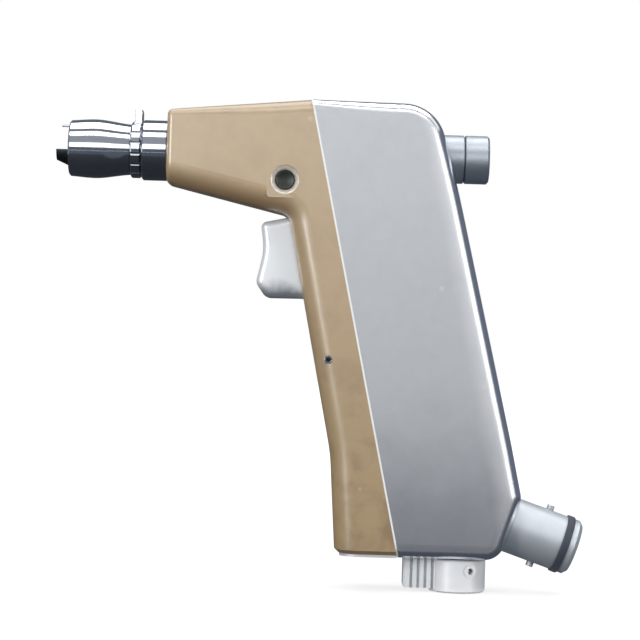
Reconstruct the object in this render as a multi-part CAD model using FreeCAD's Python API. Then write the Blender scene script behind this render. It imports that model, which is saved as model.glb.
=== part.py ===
import FreeCAD, Part
import math
import os

# Surgical power drill: an air-driven pistol with a cannulated spindle.
# Millimetres. +X runs from the nose to the rear along the spindle, +Z is up, the grip hangs down.
# The origin is the mouth of the tool socket, on the spindle axis.

# Clearances
RUN = 0.05              # radial gap of a running fit
SEAT = 0.05             # radial gap of a part seated in its bore
AIR = 0.3               # gap between parts that move past each other

# Body outline, seen from the side
SPLIT_X = 96.8          # top of the split between the two castings
BODY_TOP = 21.1         # top of the body above the spindle axis
SPLIT_TILT = 12.25      # lean of the split and of the grip, degrees
BODY_WIDTH = 36.0
BASE_Z = -159.45        # underside of the rear casting
REAR_DEPTH = 50.4       # split to rear edge, upper body
REAR_SWELL = 2.2        # how much deeper the body is near its base
SHOULDER_S = 44.8       # down the split, where the rear edge straightens
SHOULDER_DRAFT = 2.2    # how far the rear edge leans in above that
SWELL_S = 149.4         # down the split, where the body is deepest
SWEEP_RADIUS = 500.0    # the rear edge's gentle curve
FACET_MARGIN = 0.6      # facet around the hose port
TOP_CORNER_RADIUS = 17.0
HEEL_RADIUS = 8.0
TOP_EDGE_ROUND = 3.0    # edge rounding where the rear casting starts at the top
HEEL_EDGE_ROUND = 6.0   # edge rounding where it ends at the base

# Front casting
HEAD_X = 39.6           # front face of the head
HEAD_FRONT_TOP = 15.7
HEAD_FRONT_BOTTOM = -13.55
HEAD_FRONT_WIDTH = 30.4
TAPER_END_X = 92.0      # where the head reaches the full width
UNDERSIDE_SLOPE = 13.0  # degrees
GRIP_DEPTH = 17.6       # split to the front of the grip, at the trigger
GRIP_SWELL = 1.2        # how much deeper the grip is above its foot
FOOT_FLARE = 5.6        # how far the foot reaches forward of the grip
FOOT_START = 139.5      # along the split, from the top
FOOT_RADIUS = 80.0
WEB_RADIUS = 5.0        # between head and grip
GRIP_ROUND = 9.0        # edge rounding of the grip and of the head's underside
HEAD_TOP_ROUND = 6.0
FRONT_RIM_ROUND = 2.2
FOOT_BEVEL = 1.6
WALL = 2.6
GASKET = 0.6

# Drive train
BEARING_BORE = 9.0
BEARING_OUTER = 16.0
BEARING_WIDTH = 5.0
BALL_DIAMETER = 2.0
BALLS = 8
CANNULA_BORE = 2.6
CANNULA_OUTER = 3.2
SHAFT_BORE = 3.8
SOCKET_BORE = 7.0
SOCKET_DEPTH = 17.0
MODULE = 0.6
SUN_TEETH = 12
PLANET_TEETH = 12
PLANETS = 3
PRESSURE_ANGLE = 20.0
BACKLASH = 0.08
GEAR_WIDTH = 8.0
PLANET_PIN = 2.8
RING_WALL = 1.25
CASE_WALL = 1.15
CARRIER_THICKNESS = 3.0
MOTOR_DIAMETER = 30.0
MOTOR_BORE = 24.4
ROTOR_DIAMETER = 21.0
ROTOR_LENGTH = 32.4
ECCENTRICITY = 1.3
VANES = 5
VANE_THICKNESS = 1.5
PLATE_LIP = 1.5
ADDENDUM = 0.9          # tooth height above the pitch circle, in modules
DEDENDUM = 1.25         # tooth depth below it, in modules
RING_ADDENDUM = 0.58    # the ring's teeth are cut short, in modules
CARRIER_GAP = 0.7
CARRIER_RIM = 0.6       # wall outside the planet pins
PIN_PROUD = 0.8         # pin's end behind its planet
BEARING_LIP = 1.0
MOTOR_LIP = 1.4
SUN_RUNOUT = 2.0        # teeth carried on past the planets
SUN_LAND = 1.2          # plain shaft starts this far behind them
RACE_LAND = 0.45        # bearing rings stop this far from the balls' pitch circle
COVER_THICKNESS = 2.0
VANE_FLOOR = 0.8
BOSS_WEB = 3.0
CAP_SKIRT = 13.0
CAP_BORE = 3.2
CAP_CHAMFER = 0.8
KNOB_CHAMFER = 0.4
SEAL_SECTION = 1.4

# Stations along the spindle
NOSE_LENGTH = 24.4
COLLAR_LENGTH = 4.8
NECK_X = 33.0           # front of the gear case's neck
FRONT_BEARING_X = 34.0
CASE_X = 50.0           # shoulder of the gear case
MOTOR_X = 98.0          # front of the motor
BOSS_GAP = 3.0          # from the motor to the seat of the rear boss
BOSS_LENGTH = 11.2
KNOB_LENGTH = 10.0
KNOB_DIAMETER = 19.4

# Nose
NOSE_DIAMETER = 23.6
SLEEVE_DIAMETER = 24.2
NOSE_BORE = 16.0
TAIL_DIAMETER = 17.2
NECK_DIAMETER = 18.8
SPINDLE_DIAMETER = 11.6
FLANGE_DIAMETER = 15.2
TAB_HEIGHT = 16.3
TAB_WIDTH = 9.0
TAB_SETBACK = 0.2       # tab's front face behind the collar's
TAB_HOLLOW = 1.6        # depth of the thumb's hollow
TAB_BEVEL = 1.2
TAB_ROUND = 0.5
DOG_REACH = 5.2
BLADE_REACH = 3.6
BLADE_THICKNESS = 0.7
DOG_ANGLE = 222.0       # round the spindle axis, from +Y
DOG_SPREAD = 64.0
DOG_PEG = 2.4
DOG_MARGIN = 0.8        # clear of the socket's bore
DOG_ROOT = 0.5          # how far the peg runs into the dog
DOG_TAPER = 2.4         # how far its outside runs in towards its tip
NOSE_WAIST = 1.7        # how far the front sleeve narrows towards the collar
NOSE_LIP = 0.6
NOSE_CREST = 10.0       # its widest place
NOSE_TOE = 0.08         # slope in which it ends
BORE_END = 20.0
BLADE_Z = 8.9
BLADE_WIDTH = 4.0
BLADE_SEAT = 3.0
COLLAR_DIAMETER = 22.6
COLLAR_CHAMFER = 0.6
COLLAR_NOTCH = 1.6
COLLAR_NOTCHES = 14
TAB_CLEAR = 35.0        # degrees beside the tab without notches
FLANGE_LENGTH = 3.4
FLANGE_CHAMFER = 0.6
SLEEVE_CHAMFER = 0.6
SPINDLE_STEP = 2.0      # shoulder ahead of the neck
LOCK_BALL_RADIUS = 1.1
LOCK_BALL_X = 10.2
LOCK_RING_X = 8.0
LOCK_RING_LENGTH = 4.5
LOCK_STOP = 18.6        # shoulder behind the lock spring
LOCK_WIRE = 0.8
LOCK_TURNS = 4
LOCK_STOP_WIDTH = 1.0
LOCK_INSET = 0.4        # locking ring inside the flange's diameter
BALL_RELIEF = 0.5       # room over the balls when the ring is back
BALL_RELIEF_LENGTH = 1.2

# Trigger and valve, in the leaning frame of the split
TRIGGER_WIDTH = 14.0
TRIGGER_TOP = 43.8      # along the split, from the top
TRIGGER_BOTTOM = 77.0
TRIGGER_REACH = 17.6    # how far its lower lip stands out of the grip
TRIGGER_HOLLOW = 12.4   # how far the finger's hollow stands out
HOLLOW_DROP = 11.0      # deepest place of the hollow, below the trigger's top
HOLLOW_RADIUS = 23.2
TIP_REACH = 0.8         # upper tip behind the hollow's depth
TIP_ROUND = 2.5
LIP_RISE = 10.0         # lower lip, above the trigger's bottom
LIP_PROUD = 0.4
LIP_ROUND = 4.0
TOE_SETBACK = 2.4
TOE_RISE = 3.2
TRIGGER_MARGIN = 0.6    # opening above and below the trigger
TRIGGER_FLANGE = 2.7
TRIGGER_LIP = 1.3
TRIGGER_ROUND = 2.8
STEM_GRIP = 6.0         # thread of the stem in the trigger
STEM_DIAMETER = 4.0
STEM_GUIDE = 6.0        # length of the stem's guide in the valve
STEM_S = 60.0           # height of the stem along the split
VALVE_FRONT = 5.0
VALVE_LENGTH = 30.0
VALVE_WIDTH = 16.0
SPRING_WIRE = 0.9
SPRING_GAP = 1.0        # between stem and spring
SPRING_TURNS = 6
VALVE_SEAT = 22.0       # behind the split
VALVE_HEAD = 8.8
VALVE_CONE = 1.5
VALVE_LAND = 2.0        # length of the seat
VALVE_STEP = 1.0        # seat's bore inside the head
VALVE_ROOM = 0.6        # gap round the head
VALVE_ROUND = 1.5
FEED_DEPTH = 16.0       # air passage to the motor, behind the split
INLET_DEPTH = 27.0      # air tube, behind the split
VALVE_POCKET_TOP = 52.0
VALVE_POCKET_END = 181.0
GRIP_POCKET_END = 168.0
TUBE_BEND = 15.0
SILENCER_S = 100.0
SILENCER_LENGTH = 48.0
SILENCER_DIAMETER = 22.0

# Safety button, across the head
BUTTON_X = 86.9
BUTTON_Z = -11.2
BUTTON_DIAMETER = 7.8
BUTTON_TRAVEL = 4.0
BUTTON_RECESS = 1.6
BUTTON_CHAMFER = 0.5
DISH_RADIUS = 7.8       # hollow in the bolt's ends
DISH_DEPTH = 0.8
PAD_SIZE = 14.0
PAD_SINK = 11.6         # countersink of the button's hole
PAD_STEP = 0.1          # pad below the castings' full width
PAD_CORNER = 1.5
DETENT_DIAMETER = 2.0
DETENT_LENGTH = 5.0
DETENT_INSET = 5.0      # detent inside the casting's side

# Base and hose port
LEVER_X = 160.3
HUB_DIAMETER = 23.0
LEVER_GAP = 0.55        # between the casting's underside and the lever
LEVER_TOP = BASE_Z - LEVER_GAP
LEVER_HEIGHT = 13.2
LEVER_REACH = 21.7
LEVER_WIDTH = 15.0
LEVER_SHAFT = 6.0
LEVER_FLOOR = 1.2       # closed end of the hub below the shaft
SPIGOT_SETBACK = 3.84   # root of the hose port in front of the rear edge's line
SPIGOT_S = 181.0        # its place down the split
SPIGOT_DIP = 18.8       # degrees below level
SPIGOT_LENGTH = 28.0
SPIGOT_DIAMETER = 22.4
SPIGOT_BORE = 15.0
SPIGOT_TAIL = 6.0
BAYONET_STATION = 13.5
BAYONET_DIAMETER = 3.0
BAYONET_PROUD = 1.8
ORING_STATION = 22.8
ORING_SECTION = 2.6
TUBE_OUTER = 9.0
TUBE_INNER = 6.6
SPIGOT_TAIL_RADIUS = 9.0
SPIGOT_WEB = 4.0
SPIGOT_CHAMFER = 1.5
FACET_WALL = 4.0        # casting's wall behind the hose port's facet
EXHAUST_HOLES = 6
EXHAUST_HOLE = 2.4
BAYONET_SEAT = 2.5
ORING_PROUD = 0.7
LEVER_CHAMFER = 0.6
LEVER_STEP = 1.3        # tongue's underside above the hub's
RIBS = 4
RIB_START = 2.6
RIB_PITCH = 2.8
RIB_GROOVE = 1.1
RIB_DEPTH = 1.0
LEVER_SCREW = 5.5
LEVER_SCREW_HEAD = 3.0
LEVER_SCREW_ANGLE = 25.0
LEVER_SCREW_DROP = 4.4
SELECTOR_Z = -145.8     # top of the selector disc
SELECTOR_DIAMETER = 10.0
SELECTOR_THICKNESS = 2.4
PLATE_THICKNESS = 1.2
PLATE_SCREW = 2.5
PLATE_SCREW_LENGTH = 6.0
PLATE_SCREW_DEPTH = 12.0
PLATE_SCREW_SPREAD = 16.0
PLATE_INSET = 0.4
GRIP_SCREW = 3.5
GRIP_SCREW_LENGTH = 6.5
GRIP_SCREW_DEPTH = 12.8
GRIP_SCREW_S = 102.5
GRIP_SCREW_FACE = 17.3
TONGUE_MARGIN = 2.0
TONGUE_WIDTH = 8.0
TONGUE_THICKNESS = 5.0

HALF = BODY_WIDTH / 2
DETENT_Y = HALF - DETENT_INSET
RING_TEETH = SUN_TEETH + 2 * PLANET_TEETH
CASE_RADIUS = MODULE * (RING_TEETH / 2 + DEDENDUM) + RING_WALL + SEAT + CASE_WALL
OUTPUT_CARRIER_X = CASE_X + PLATE_LIP + 0.5
INPUT_CARRIER_X = OUTPUT_CARRIER_X + CARRIER_THICKNESS + CARRIER_GAP + GEAR_WIDTH + 2 * CARRIER_GAP
SPINDLE_END = OUTPUT_CARRIER_X + CARRIER_THICKNESS
RING_X = SPINDLE_END
CASE_END = INPUT_CARRIER_X + CARRIER_THICKNESS + 2 * CARRIER_GAP + GEAR_WIDTH + 2.0
ROTOR_X = MOTOR_X + BEARING_WIDTH + PLATE_LIP + AIR
MOTOR_END = ROTOR_X + ROTOR_LENGTH + AIR + PLATE_LIP + BEARING_WIDTH
BOSS_X = MOTOR_END + BOSS_GAP
KNOB_SEAM_X = BOSS_X + BOSS_LENGTH
FOOT_Z = BASE_Z + PLATE_THICKNESS
OVERLAP = 8.0           # how far each casting's form is carried over the split before it is cut
BIG = 400.0             # reach of a cutting block
CUT = 1.0               # how far a cutting body reaches past what it cuts

V = FreeCAD.Vector
AXIS_X = V(1, 0, 0)
AXIS_Y = V(0, 1, 0)
AXIS_Z = V(0, 0, 1)
TILT = math.radians(SPLIT_TILT)


# Helpers

def cylinder(radius, start, end):
    """A round bar between two points."""
    run = end - start
    return Part.makeCylinder(radius, run.Length, start, run)


def bar_x(radius, x0, x1, y=0.0, z=0.0):
    """A round bar along X."""
    return cylinder(radius, V(x0, y, z), V(x1, y, z))


def tube_x(outer, inner, x0, x1):
    """A tube on the spindle axis."""
    return bar_x(outer, x0, x1).cut(bar_x(inner, x0 - 1, x1 + 1))


def turned_x(points):
    """A body turned about the spindle axis from (x, radius) points."""
    wire = Part.makePolygon([V(x, 0, r) for x, r in points + points[:1]])
    return Part.Face(wire).revolve(V(0, 0, 0), AXIS_X, 360)


def fused(shapes):
    """One solid from touching or overlapping solids."""
    whole = shapes[0].multiFuse(shapes[1:])
    return whole.removeSplitter()


def rounded_wire(corners, close=True):
    """A wire through (point, radius) corners, each rounded by its own radius."""
    count = len(corners)
    ends = []
    for i, (point, radius) in enumerate(corners):
        before = corners[i - 1][0]
        after = corners[(i + 1) % count][0]
        if radius == 0 or (not close and i in (0, count - 1)):
            ends.append((point, point, None))
            continue
        back = (before - point).normalize()
        ahead = (after - point).normalize()
        half_angle = back.getAngle(ahead) / 2
        run = radius / math.tan(half_angle)
        bisector = (back + ahead).normalize()
        middle = point + bisector * (radius / math.sin(half_angle) - radius)
        ends.append((point + back * run, point + ahead * run, middle))
    edges = []
    for i, (start, end, middle) in enumerate(ends):
        if middle is not None:
            edges.append(Part.Arc(start, middle, end).toShape())
        if i < count - 1 or close:
            edges.append(Part.LineSegment(end, ends[(i + 1) % count][0]).toShape())
    return Part.Wire(edges)


def block(x0, x1, y0, y1, z0, z1):
    """A box from its limits."""
    return Part.makeBox(x1 - x0, y1 - y0, z1 - z0, V(x0, y0, z0))


def leaning(shape):
    """A shape from the split's own frame (X to the rear, Z up along the split) set in place."""
    placed = shape.copy()
    frame = FreeCAD.Placement(V(SPLIT_X, 0, BODY_TOP), FreeCAD.Rotation(AXIS_Y, -SPLIT_TILT))
    placed.Placement = frame.multiply(placed.Placement)
    return placed


def lean(n, s, y=0.0):
    """The point n behind the split and s down along it."""
    return V(SPLIT_X + n * math.cos(TILT) + s * math.sin(TILT), y,
             BODY_TOP + n * math.sin(TILT) - s * math.cos(TILT))


def lean_at_level(n, z):
    """How far down the split the point lies that is n behind it at height z."""
    return (BODY_TOP + n * math.sin(TILT) - z) / math.cos(TILT)


def behind_split(n):
    """Everything more than n behind the split."""
    return leaning(block(n, n + BIG, -BIG, BIG, -BIG, BIG))


# Castings

def spigot_axis():
    """The direction in which the hose port points."""
    dip = math.radians(SPIGOT_DIP)
    return V(math.cos(dip), 0, -math.sin(dip))


def spigot_point(along, across=0.0):
    """A point on the hose port's axis, or beside it in the drill's middle plane."""
    axis = spigot_axis()
    side = V(-axis.z, 0, axis.x)
    return lean(REAR_DEPTH - SPIGOT_SETBACK, SPIGOT_S) + axis * along + side * across


def depth_of(point):
    """How far a point lies behind the split."""
    return (point - lean(0, 0)).dot(V(math.cos(TILT), 0, math.sin(TILT)))


def side_edges(solid):
    """The edges between the two side faces and the rim."""
    found = []
    for edge in solid.Edges:
        ends = [vertex.Point.y for vertex in edge.Vertexes]
        if len(ends) == 2 and ends[0] * ends[1] > 0 and min(map(abs, ends)) > HALF / 2:
            found.append(edge)
    return found


def front_of(edge):
    """The least x that an edge reaches."""
    return min(vertex.Point.x for vertex in edge.Vertexes)


def rear_block():
    """The rear casting's outer form, carried a little forward over the split."""
    facet_top = spigot_point(0, SPIGOT_DIAMETER / 2 + FACET_MARGIN)
    facet_low = spigot_point(0, -SPIGOT_DIAMETER / 2)
    facet = (facet_low - facet_top).normalize()
    heel = facet_low + facet * ((BASE_Z - facet_low.z) / facet.z)
    corners = [
        (V(SPLIT_X - OVERLAP, 0, BODY_TOP), 0),
        (lean(REAR_DEPTH - SHOULDER_DRAFT, lean_at_level(REAR_DEPTH, BODY_TOP)), TOP_CORNER_RADIUS),
        (lean(REAR_DEPTH, SHOULDER_S), SWEEP_RADIUS),
        (lean(REAR_DEPTH + REAR_SWELL, SWELL_S), SWEEP_RADIUS / 2),
        (facet_top, HEEL_RADIUS),
        (heel, HEEL_RADIUS),
        (lean(-OVERLAP, lean_at_level(-OVERLAP, BASE_Z)), 0),
    ]
    solid = Part.Face(rounded_wire(corners)).extrude(V(0, BODY_WIDTH, 0))
    solid.translate(V(0, -HALF, 0))
    tops = [edge for edge in side_edges(solid) if abs(edge.CenterOfMass.z - BODY_TOP) < 1]
    tops = [edge for edge in tops if depth_of(edge.CenterOfMass) > 0]
    return solid.makeFillet(TOP_EDGE_ROUND, HEEL_EDGE_ROUND, tops)


def front_outline():
    """The front casting seen from the side, carried a little back over the split."""
    head_low = V(HEAD_X, 0, HEAD_FRONT_BOTTOM)
    slope = math.tan(math.radians(UNDERSIDE_SLOPE))
    grip_start = lean(-GRIP_DEPTH, 0)
    lean_x, lean_z = math.sin(TILT), -math.cos(TILT)
    gap_x, gap_z = grip_start.x - head_low.x, grip_start.z - head_low.z
    run = (gap_x * lean_z - gap_z * lean_x) / (lean_z + slope * lean_x)
    web = head_low + V(run, 0, -slope * run)
    toe_depth = GRIP_DEPTH + GRIP_SWELL + FOOT_FLARE
    rise = (BODY_TOP - HEAD_FRONT_TOP) / (SPLIT_X - HEAD_X)
    return rounded_wire([
        (V(HEAD_X, 0, HEAD_FRONT_TOP), 0),
        (V(SPLIT_X + OVERLAP, 0, BODY_TOP + rise * OVERLAP), 0),
        (lean(OVERLAP, lean_at_level(OVERLAP, FOOT_Z)), 0),
        (lean(-toe_depth, lean_at_level(-toe_depth, FOOT_Z)), 0),
        (lean(-GRIP_DEPTH - GRIP_SWELL, FOOT_START), FOOT_RADIUS),
        (web, WEB_RADIUS),
        (head_low, 0),
    ])


def front_plan():
    """The front casting seen from above: the head's sides swell gently from its front face."""
    start = HEAD_FRONT_WIDTH / 2
    run = TAPER_END_X - HEAD_X
    radius = (run ** 2 + (HALF - start) ** 2) / (2 * (HALF - start))
    middle = HALF - radius + math.sqrt(radius ** 2 - (run / 2) ** 2)
    edges = []
    for side in (1, -1):
        front, back = V(HEAD_X, side * start, -BIG), V(TAPER_END_X, side * HALF, -BIG)
        far = V(SPLIT_X + BODY_WIDTH * 2, side * HALF, -BIG)
        edges.append(Part.Arc(front, V(HEAD_X + run / 2, side * middle, -BIG), back).toShape())
        edges.append(Part.LineSegment(back, far).toShape())
    for x, reach in ((HEAD_X, start), (SPLIT_X + BODY_WIDTH * 2, HALF)):
        edges.append(Part.LineSegment(V(x, reach, -BIG), V(x, -reach, -BIG)).toShape())
    return Part.Wire(Part.__sortEdges__(edges))


def front_block():
    """The front casting's outer form, with every long edge rounded."""
    side = Part.Face(front_outline()).extrude(V(0, 2 * BODY_WIDTH, 0))
    side.translate(V(0, -BODY_WIDTH, 0))
    solid = side.common(Part.Face(front_plan()).extrude(V(0, 0, 2 * BIG)))
    edges = [edge for edge in side_edges(solid) if edge.BoundBox.XLength > 0.1]
    low = [edge for edge in edges if edge.CenterOfMass.z < HEAD_FRONT_BOTTOM + 0.1]
    low = [edge for edge in low if abs(edge.CenterOfMass.z - FOOT_Z) > 0.1]
    low = [edge for edge in low if depth_of(edge.CenterOfMass) < OVERLAP - 1]
    solid = solid.makeFillet(GRIP_ROUND, low)
    tops = [edge for edge in side_edges(solid) if edge.CenterOfMass.z > HEAD_FRONT_TOP - 1]
    starts = [edge for edge in tops if front_of(edge) < HEAD_X + 0.1 and edge.BoundBox.XLength > 1]
    solid = solid.makeFillet(HEAD_TOP_ROUND, TOP_EDGE_ROUND, starts)
    rim = [edge for edge in solid.Edges if edge.BoundBox.XMax < HEAD_X + 0.01]
    return solid.makeFillet(FRONT_RIM_ROUND, rim)


def drive_bores(gap=SEAT):
    """The bores of both castings for the gear case, the motor and the safety button's room."""
    return fused([
        bar_x(NECK_DIAMETER / 2 + gap, HEAD_X - 1, CASE_X + 1),
        bar_x(CASE_RADIUS + gap, CASE_X, MOTOR_X),
        bar_x(MOTOR_DIAMETER / 2 + gap, MOTOR_X - gap, BOSS_X),
    ])


def pocket(depth_start, depth_end, top_s, low_s, half_width, corner):
    """A room in the grip, in the split's own frame, with rounded upright corners."""
    corners = [(V(n, y, 0), corner) for n, y in
               ((depth_start, -half_width), (depth_end, -half_width),
                (depth_end, half_width), (depth_start, half_width))]
    room = Part.Face(rounded_wire(corners)).extrude(V(0, 0, low_s - top_s))
    room.translate(V(0, 0, -low_s))
    return leaning(room)


def grip_pocket():
    """The room behind the trigger, open to the split."""
    inner = GRIP_DEPTH - WALL
    return pocket(-inner, 2 * inner, TRIGGER_TOP - TRIGGER_MARGIN, GRIP_POCKET_END, HALF - WALL,
                  GRIP_ROUND - WALL)


def valve_pocket():
    """The room in the rear casting for the valve, the air tube and the silencer."""
    inner = REAR_DEPTH - WALL
    room = pocket(-inner, inner, VALVE_POCKET_TOP, VALVE_POCKET_END, HALF - WALL, HEEL_EDGE_ROUND - WALL)
    return room.common(cylinder(BIG, spigot_point(-BIG), spigot_point(-FACET_WALL)))


def screw_places():
    """The two grip screws: side and centre of each."""
    return [(side, lean(-GRIP_SCREW_DEPTH, GRIP_SCREW_S, side * GRIP_SCREW_FACE)) for side in (-1, 1)]


def front_housing():
    """The tan casting: head, trigger opening and the front of the grip."""
    solid = front_block()
    pad = PAD_SIZE / 2
    face = HALF - PAD_STEP
    pad_block = block(BUTTON_X - pad, BUTTON_X + pad, -face, face, BUTTON_Z - pad, BUTTON_Z + pad)
    uprights = [edge for edge in pad_block.Edges if abs(edge.tangentAt(0).y) > 0.9]
    pad_block = pad_block.makeFillet(PAD_CORNER, uprights)
    solid = solid.fuse(pad_block).cut(behind_split(-GASKET / 2))
    solid = solid.cut(drive_bores()).cut(grip_pocket())
    opening = TRIGGER_WIDTH / 2 + AIR
    top, bottom = TRIGGER_TOP - TRIGGER_MARGIN, TRIGGER_BOTTOM + TRIGGER_MARGIN
    solid = solid.cut(pocket(-GRIP_DEPTH * 2, -CUT, top, bottom, opening, TRIGGER_ROUND))
    radius = BUTTON_DIAMETER / 2
    across = V(0, HALF + CUT, 0)
    middle = V(BUTTON_X, 0, BUTTON_Z)
    solid = solid.cut(cylinder(radius + RUN, middle - across, middle + across))
    sink = PAD_SINK / 2
    for side in (-1, 1):
        outer = V(BUTTON_X, side * (face + CUT), BUTTON_Z)
        cone = Part.makeCone(sink + CUT, radius, sink + CUT - radius, outer, V(0, -side, 0))
        solid = solid.cut(cone)
    for side, place in screw_places():
        solid = solid.cut(grip_screw_bore(side, place))
    for place in plate_screw_places():
        solid = solid.cut(cylinder(PLATE_SCREW / 2, place, place + V(0, 0, PLATE_SCREW_LENGTH)))
    solid = solid.cut(detent_room())
    toe = [edge for edge in solid.Edges
           if edge.BoundBox.ZMax < FOOT_Z + 0.01 and abs(edge.CenterOfMass.z - FOOT_Z) < 0.01
           and edge.BoundBox.DiagonalLength > 5 and depth_of(edge.CenterOfMass) < -2]
    return solid.makeChamfer(FOOT_BEVEL, toe)


def rear_housing():
    """The silver casting: motor barrel above, valve room below, seats for knob, lever and hose port."""
    solid = rear_block().common(behind_split(GASKET / 2))
    solid = solid.cut(drive_bores()).cut(valve_pocket())
    solid = solid.cut(bar_x(KNOB_DIAMETER / 2 + SEAT, BOSS_X - CUT, KNOB_SEAM_X + KNOB_LENGTH))
    tail = SPIGOT_TAIL_RADIUS + SEAT
    solid = solid.cut(cylinder(tail, spigot_point(-SPIGOT_TAIL - 3), spigot_point(5)))
    solid = solid.cut(cylinder(LEVER_SHAFT / 2 + RUN, V(LEVER_X, 0, BASE_Z - 5), V(LEVER_X, 0, SELECTOR_Z)))
    solid = solid.cut(feed_bore(BODY_TOP + ROTOR_DIAMETER / 2))
    tongues = [grip_tongue(side, place) for side, place in screw_places()]
    return solid.fuse(tongues)


def grip_tongue(side, place):
    """A tongue of the rear casting inside the grip, which a grip screw holds."""
    inner = HALF - WALL - SEAT
    reach = GRIP_SCREW_DEPTH + TONGUE_MARGIN
    low, high = -GRIP_SCREW_S - TONGUE_WIDTH / 2, -GRIP_SCREW_S + TONGUE_WIDTH / 2
    y0, y1 = sorted((side * inner, side * (inner - TONGUE_THICKNESS)))
    tongue = block(-reach, 2 * GASKET, y0, y1, low, high)
    y0, y1 = sorted((side * (HALF - WALL / 2), side * (inner - TONGUE_THICKNESS)))
    root = block(GASKET / 2, 3 * TONGUE_MARGIN, y0, y1, low, high)
    front = -(GRIP_DEPTH - WALL - SEAT)
    room = pocket(front, GRIP_DEPTH, TRIGGER_TOP, GRIP_POCKET_END, inner, GRIP_ROUND - WALL)
    tongue = leaning(tongue).common(room).fuse(leaning(root))
    return tongue.cut(grip_screw_bore(side, place))


def grip_screw_bore(side, place):
    """The threaded hole of a grip screw, from outside the casting to the screw's inner end."""
    return cylinder(GRIP_SCREW / 2, place + V(0, side * WALL, 0), place - V(0, side * GRIP_SCREW_LENGTH, 0))


def housing_gasket():
    """The white gasket in the split, flush with both castings."""
    slab = rear_block().common(behind_split(-GASKET / 2)).cut(behind_split(GASKET / 2))
    rooms = [drive_bores(), pocket(-5, 5, VALVE_POCKET_TOP, VALVE_POCKET_END, HALF - WALL, 0)]
    return slab.cut(fused(rooms))


def grip_screws():
    """Two grub screws through the grip's sides into the tongues."""
    screws = []
    for side, place in screw_places():
        axis = V(0, -side, 0)
        body = cylinder(GRIP_SCREW / 2, place, place + axis * GRIP_SCREW_LENGTH)
        screws.append(hex_socket(body, place, axis, GRIP_SCREW / 4, GRIP_SCREW_LENGTH / 3))
    return screws


def hex_socket(body, mouth, axis, radius, depth):
    """A body with a hexagon socket sunk from its mouth along the axis."""
    side = axis.cross(AXIS_Z) if abs(axis.z) < 0.9 else AXIS_X
    side = side.normalize()
    up = axis.cross(side)
    points = [mouth + side * (radius * math.cos(math.pi / 3 * k)) + up * (radius * math.sin(math.pi / 3 * k))
              for k in range(7)]
    hexagon = Part.Face(Part.makePolygon(points))
    return body.cut(hexagon.extrude(axis * depth))


def plate_screw_places():
    """Where the base plate's screws go in, on its underside."""
    x = lean(-PLATE_SCREW_DEPTH, lean_at_level(-PLATE_SCREW_DEPTH, FOOT_Z)).x
    return [V(x, y, BASE_Z) for y in (-PLATE_SCREW_SPREAD / 2, PLATE_SCREW_SPREAD / 2)]


def plate_screw_cone(place):
    """The countersink of a base plate screw."""
    return Part.makeCone(PLATE_SCREW, PLATE_SCREW / 2, PLATE_THICKNESS, place, AXIS_Z)


def base_plate():
    """The thin plate under the grip."""
    toe = GRIP_DEPTH + GRIP_SWELL + FOOT_FLARE
    x0 = lean(-toe, lean_at_level(-toe, FOOT_Z)).x + FOOT_BEVEL + PLATE_INSET
    x1 = lean(-GASKET, lean_at_level(-GASKET, BASE_Z)).x
    reach = HALF - FOOT_BEVEL - PLATE_INSET
    corners = [(V(x0, -reach, BASE_Z), GRIP_ROUND - FOOT_BEVEL), (V(x1, -reach, BASE_Z), 0),
               (V(x1, reach, BASE_Z), 0), (V(x0, reach, BASE_Z), GRIP_ROUND - FOOT_BEVEL)]
    plate = Part.Face(rounded_wire(corners)).extrude(V(0, 0, PLATE_THICKNESS))
    for place in plate_screw_places():
        plate = plate.cut(cylinder(PLATE_SCREW / 2, place - V(0, 0, 1), place + V(0, 0, PLATE_THICKNESS + 1)))
        plate = plate.cut(plate_screw_cone(place))
    return plate


def base_plate_screws():
    """Two countersunk screws, flush with the plate."""
    screws = []
    for place in plate_screw_places():
        body = cylinder(PLATE_SCREW / 2, place, place + V(0, 0, PLATE_SCREW_LENGTH))
        body = body.fuse(plate_screw_cone(place))
        screws.append(hex_socket(body, place, AXIS_Z, PLATE_SCREW / 3, PLATE_SCREW / 2))
    return screws


# Nose

def nose_sleeve():
    """The chrome front sleeve with its tail, on which the collar turns. Its outside is one smooth sweep."""
    outer, tail = NOSE_DIAMETER / 2, TAIL_DIAMETER / 2
    bore, waist = NOSE_BORE / 2, NOSE_DIAMETER / 2 - NOSE_WAIST
    inner = SPINDLE_DIAMETER / 2 + AIR
    sweep = Part.BSplineCurve()
    sweep.interpolate(
        Points=[V(NOSE_LIP, 0, outer - NOSE_LIP), V(NOSE_CREST, 0, outer), V(NOSE_LENGTH, 0, waist)],
        Tangents=[V(1, 0, NOSE_LIP / NOSE_CREST), V(1, 0, 0), V(1, 0, -NOSE_TOE)], TangentFlags=[True, True, True])
    rest = Part.makePolygon([V(x, 0, r) for x, r in [
        (NOSE_LENGTH, waist), (NOSE_LENGTH, tail), (NECK_X, tail), (NECK_X, inner), (BORE_END, inner),
        (BORE_END, bore), (NOSE_LIP, bore), (0, bore + NOSE_LIP), (0, outer - 2 * NOSE_LIP),
        (NOSE_LIP, outer - NOSE_LIP),
    ]])
    profile = Part.Face(Part.Wire([sweep.toShape()] + rest.Edges))
    return profile.revolve(V(0, 0, 0), AXIS_X, 360).cut(blade_block(SEAT))


def blade_block(gap):
    """The locating blade's room in the nose's rim, or the blade itself with no gap."""
    z0 = BLADE_Z - BLADE_THICKNESS / 2 - gap
    return block(-BLADE_REACH, BLADE_SEAT + gap, -BLADE_WIDTH / 2 - gap, BLADE_WIDTH / 2 + gap,
                 z0, z0 + BLADE_THICKNESS + 2 * gap)


def locating_blade():
    """The thin blade that stands out of the nose's rim."""
    return blade_block(0)


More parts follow.
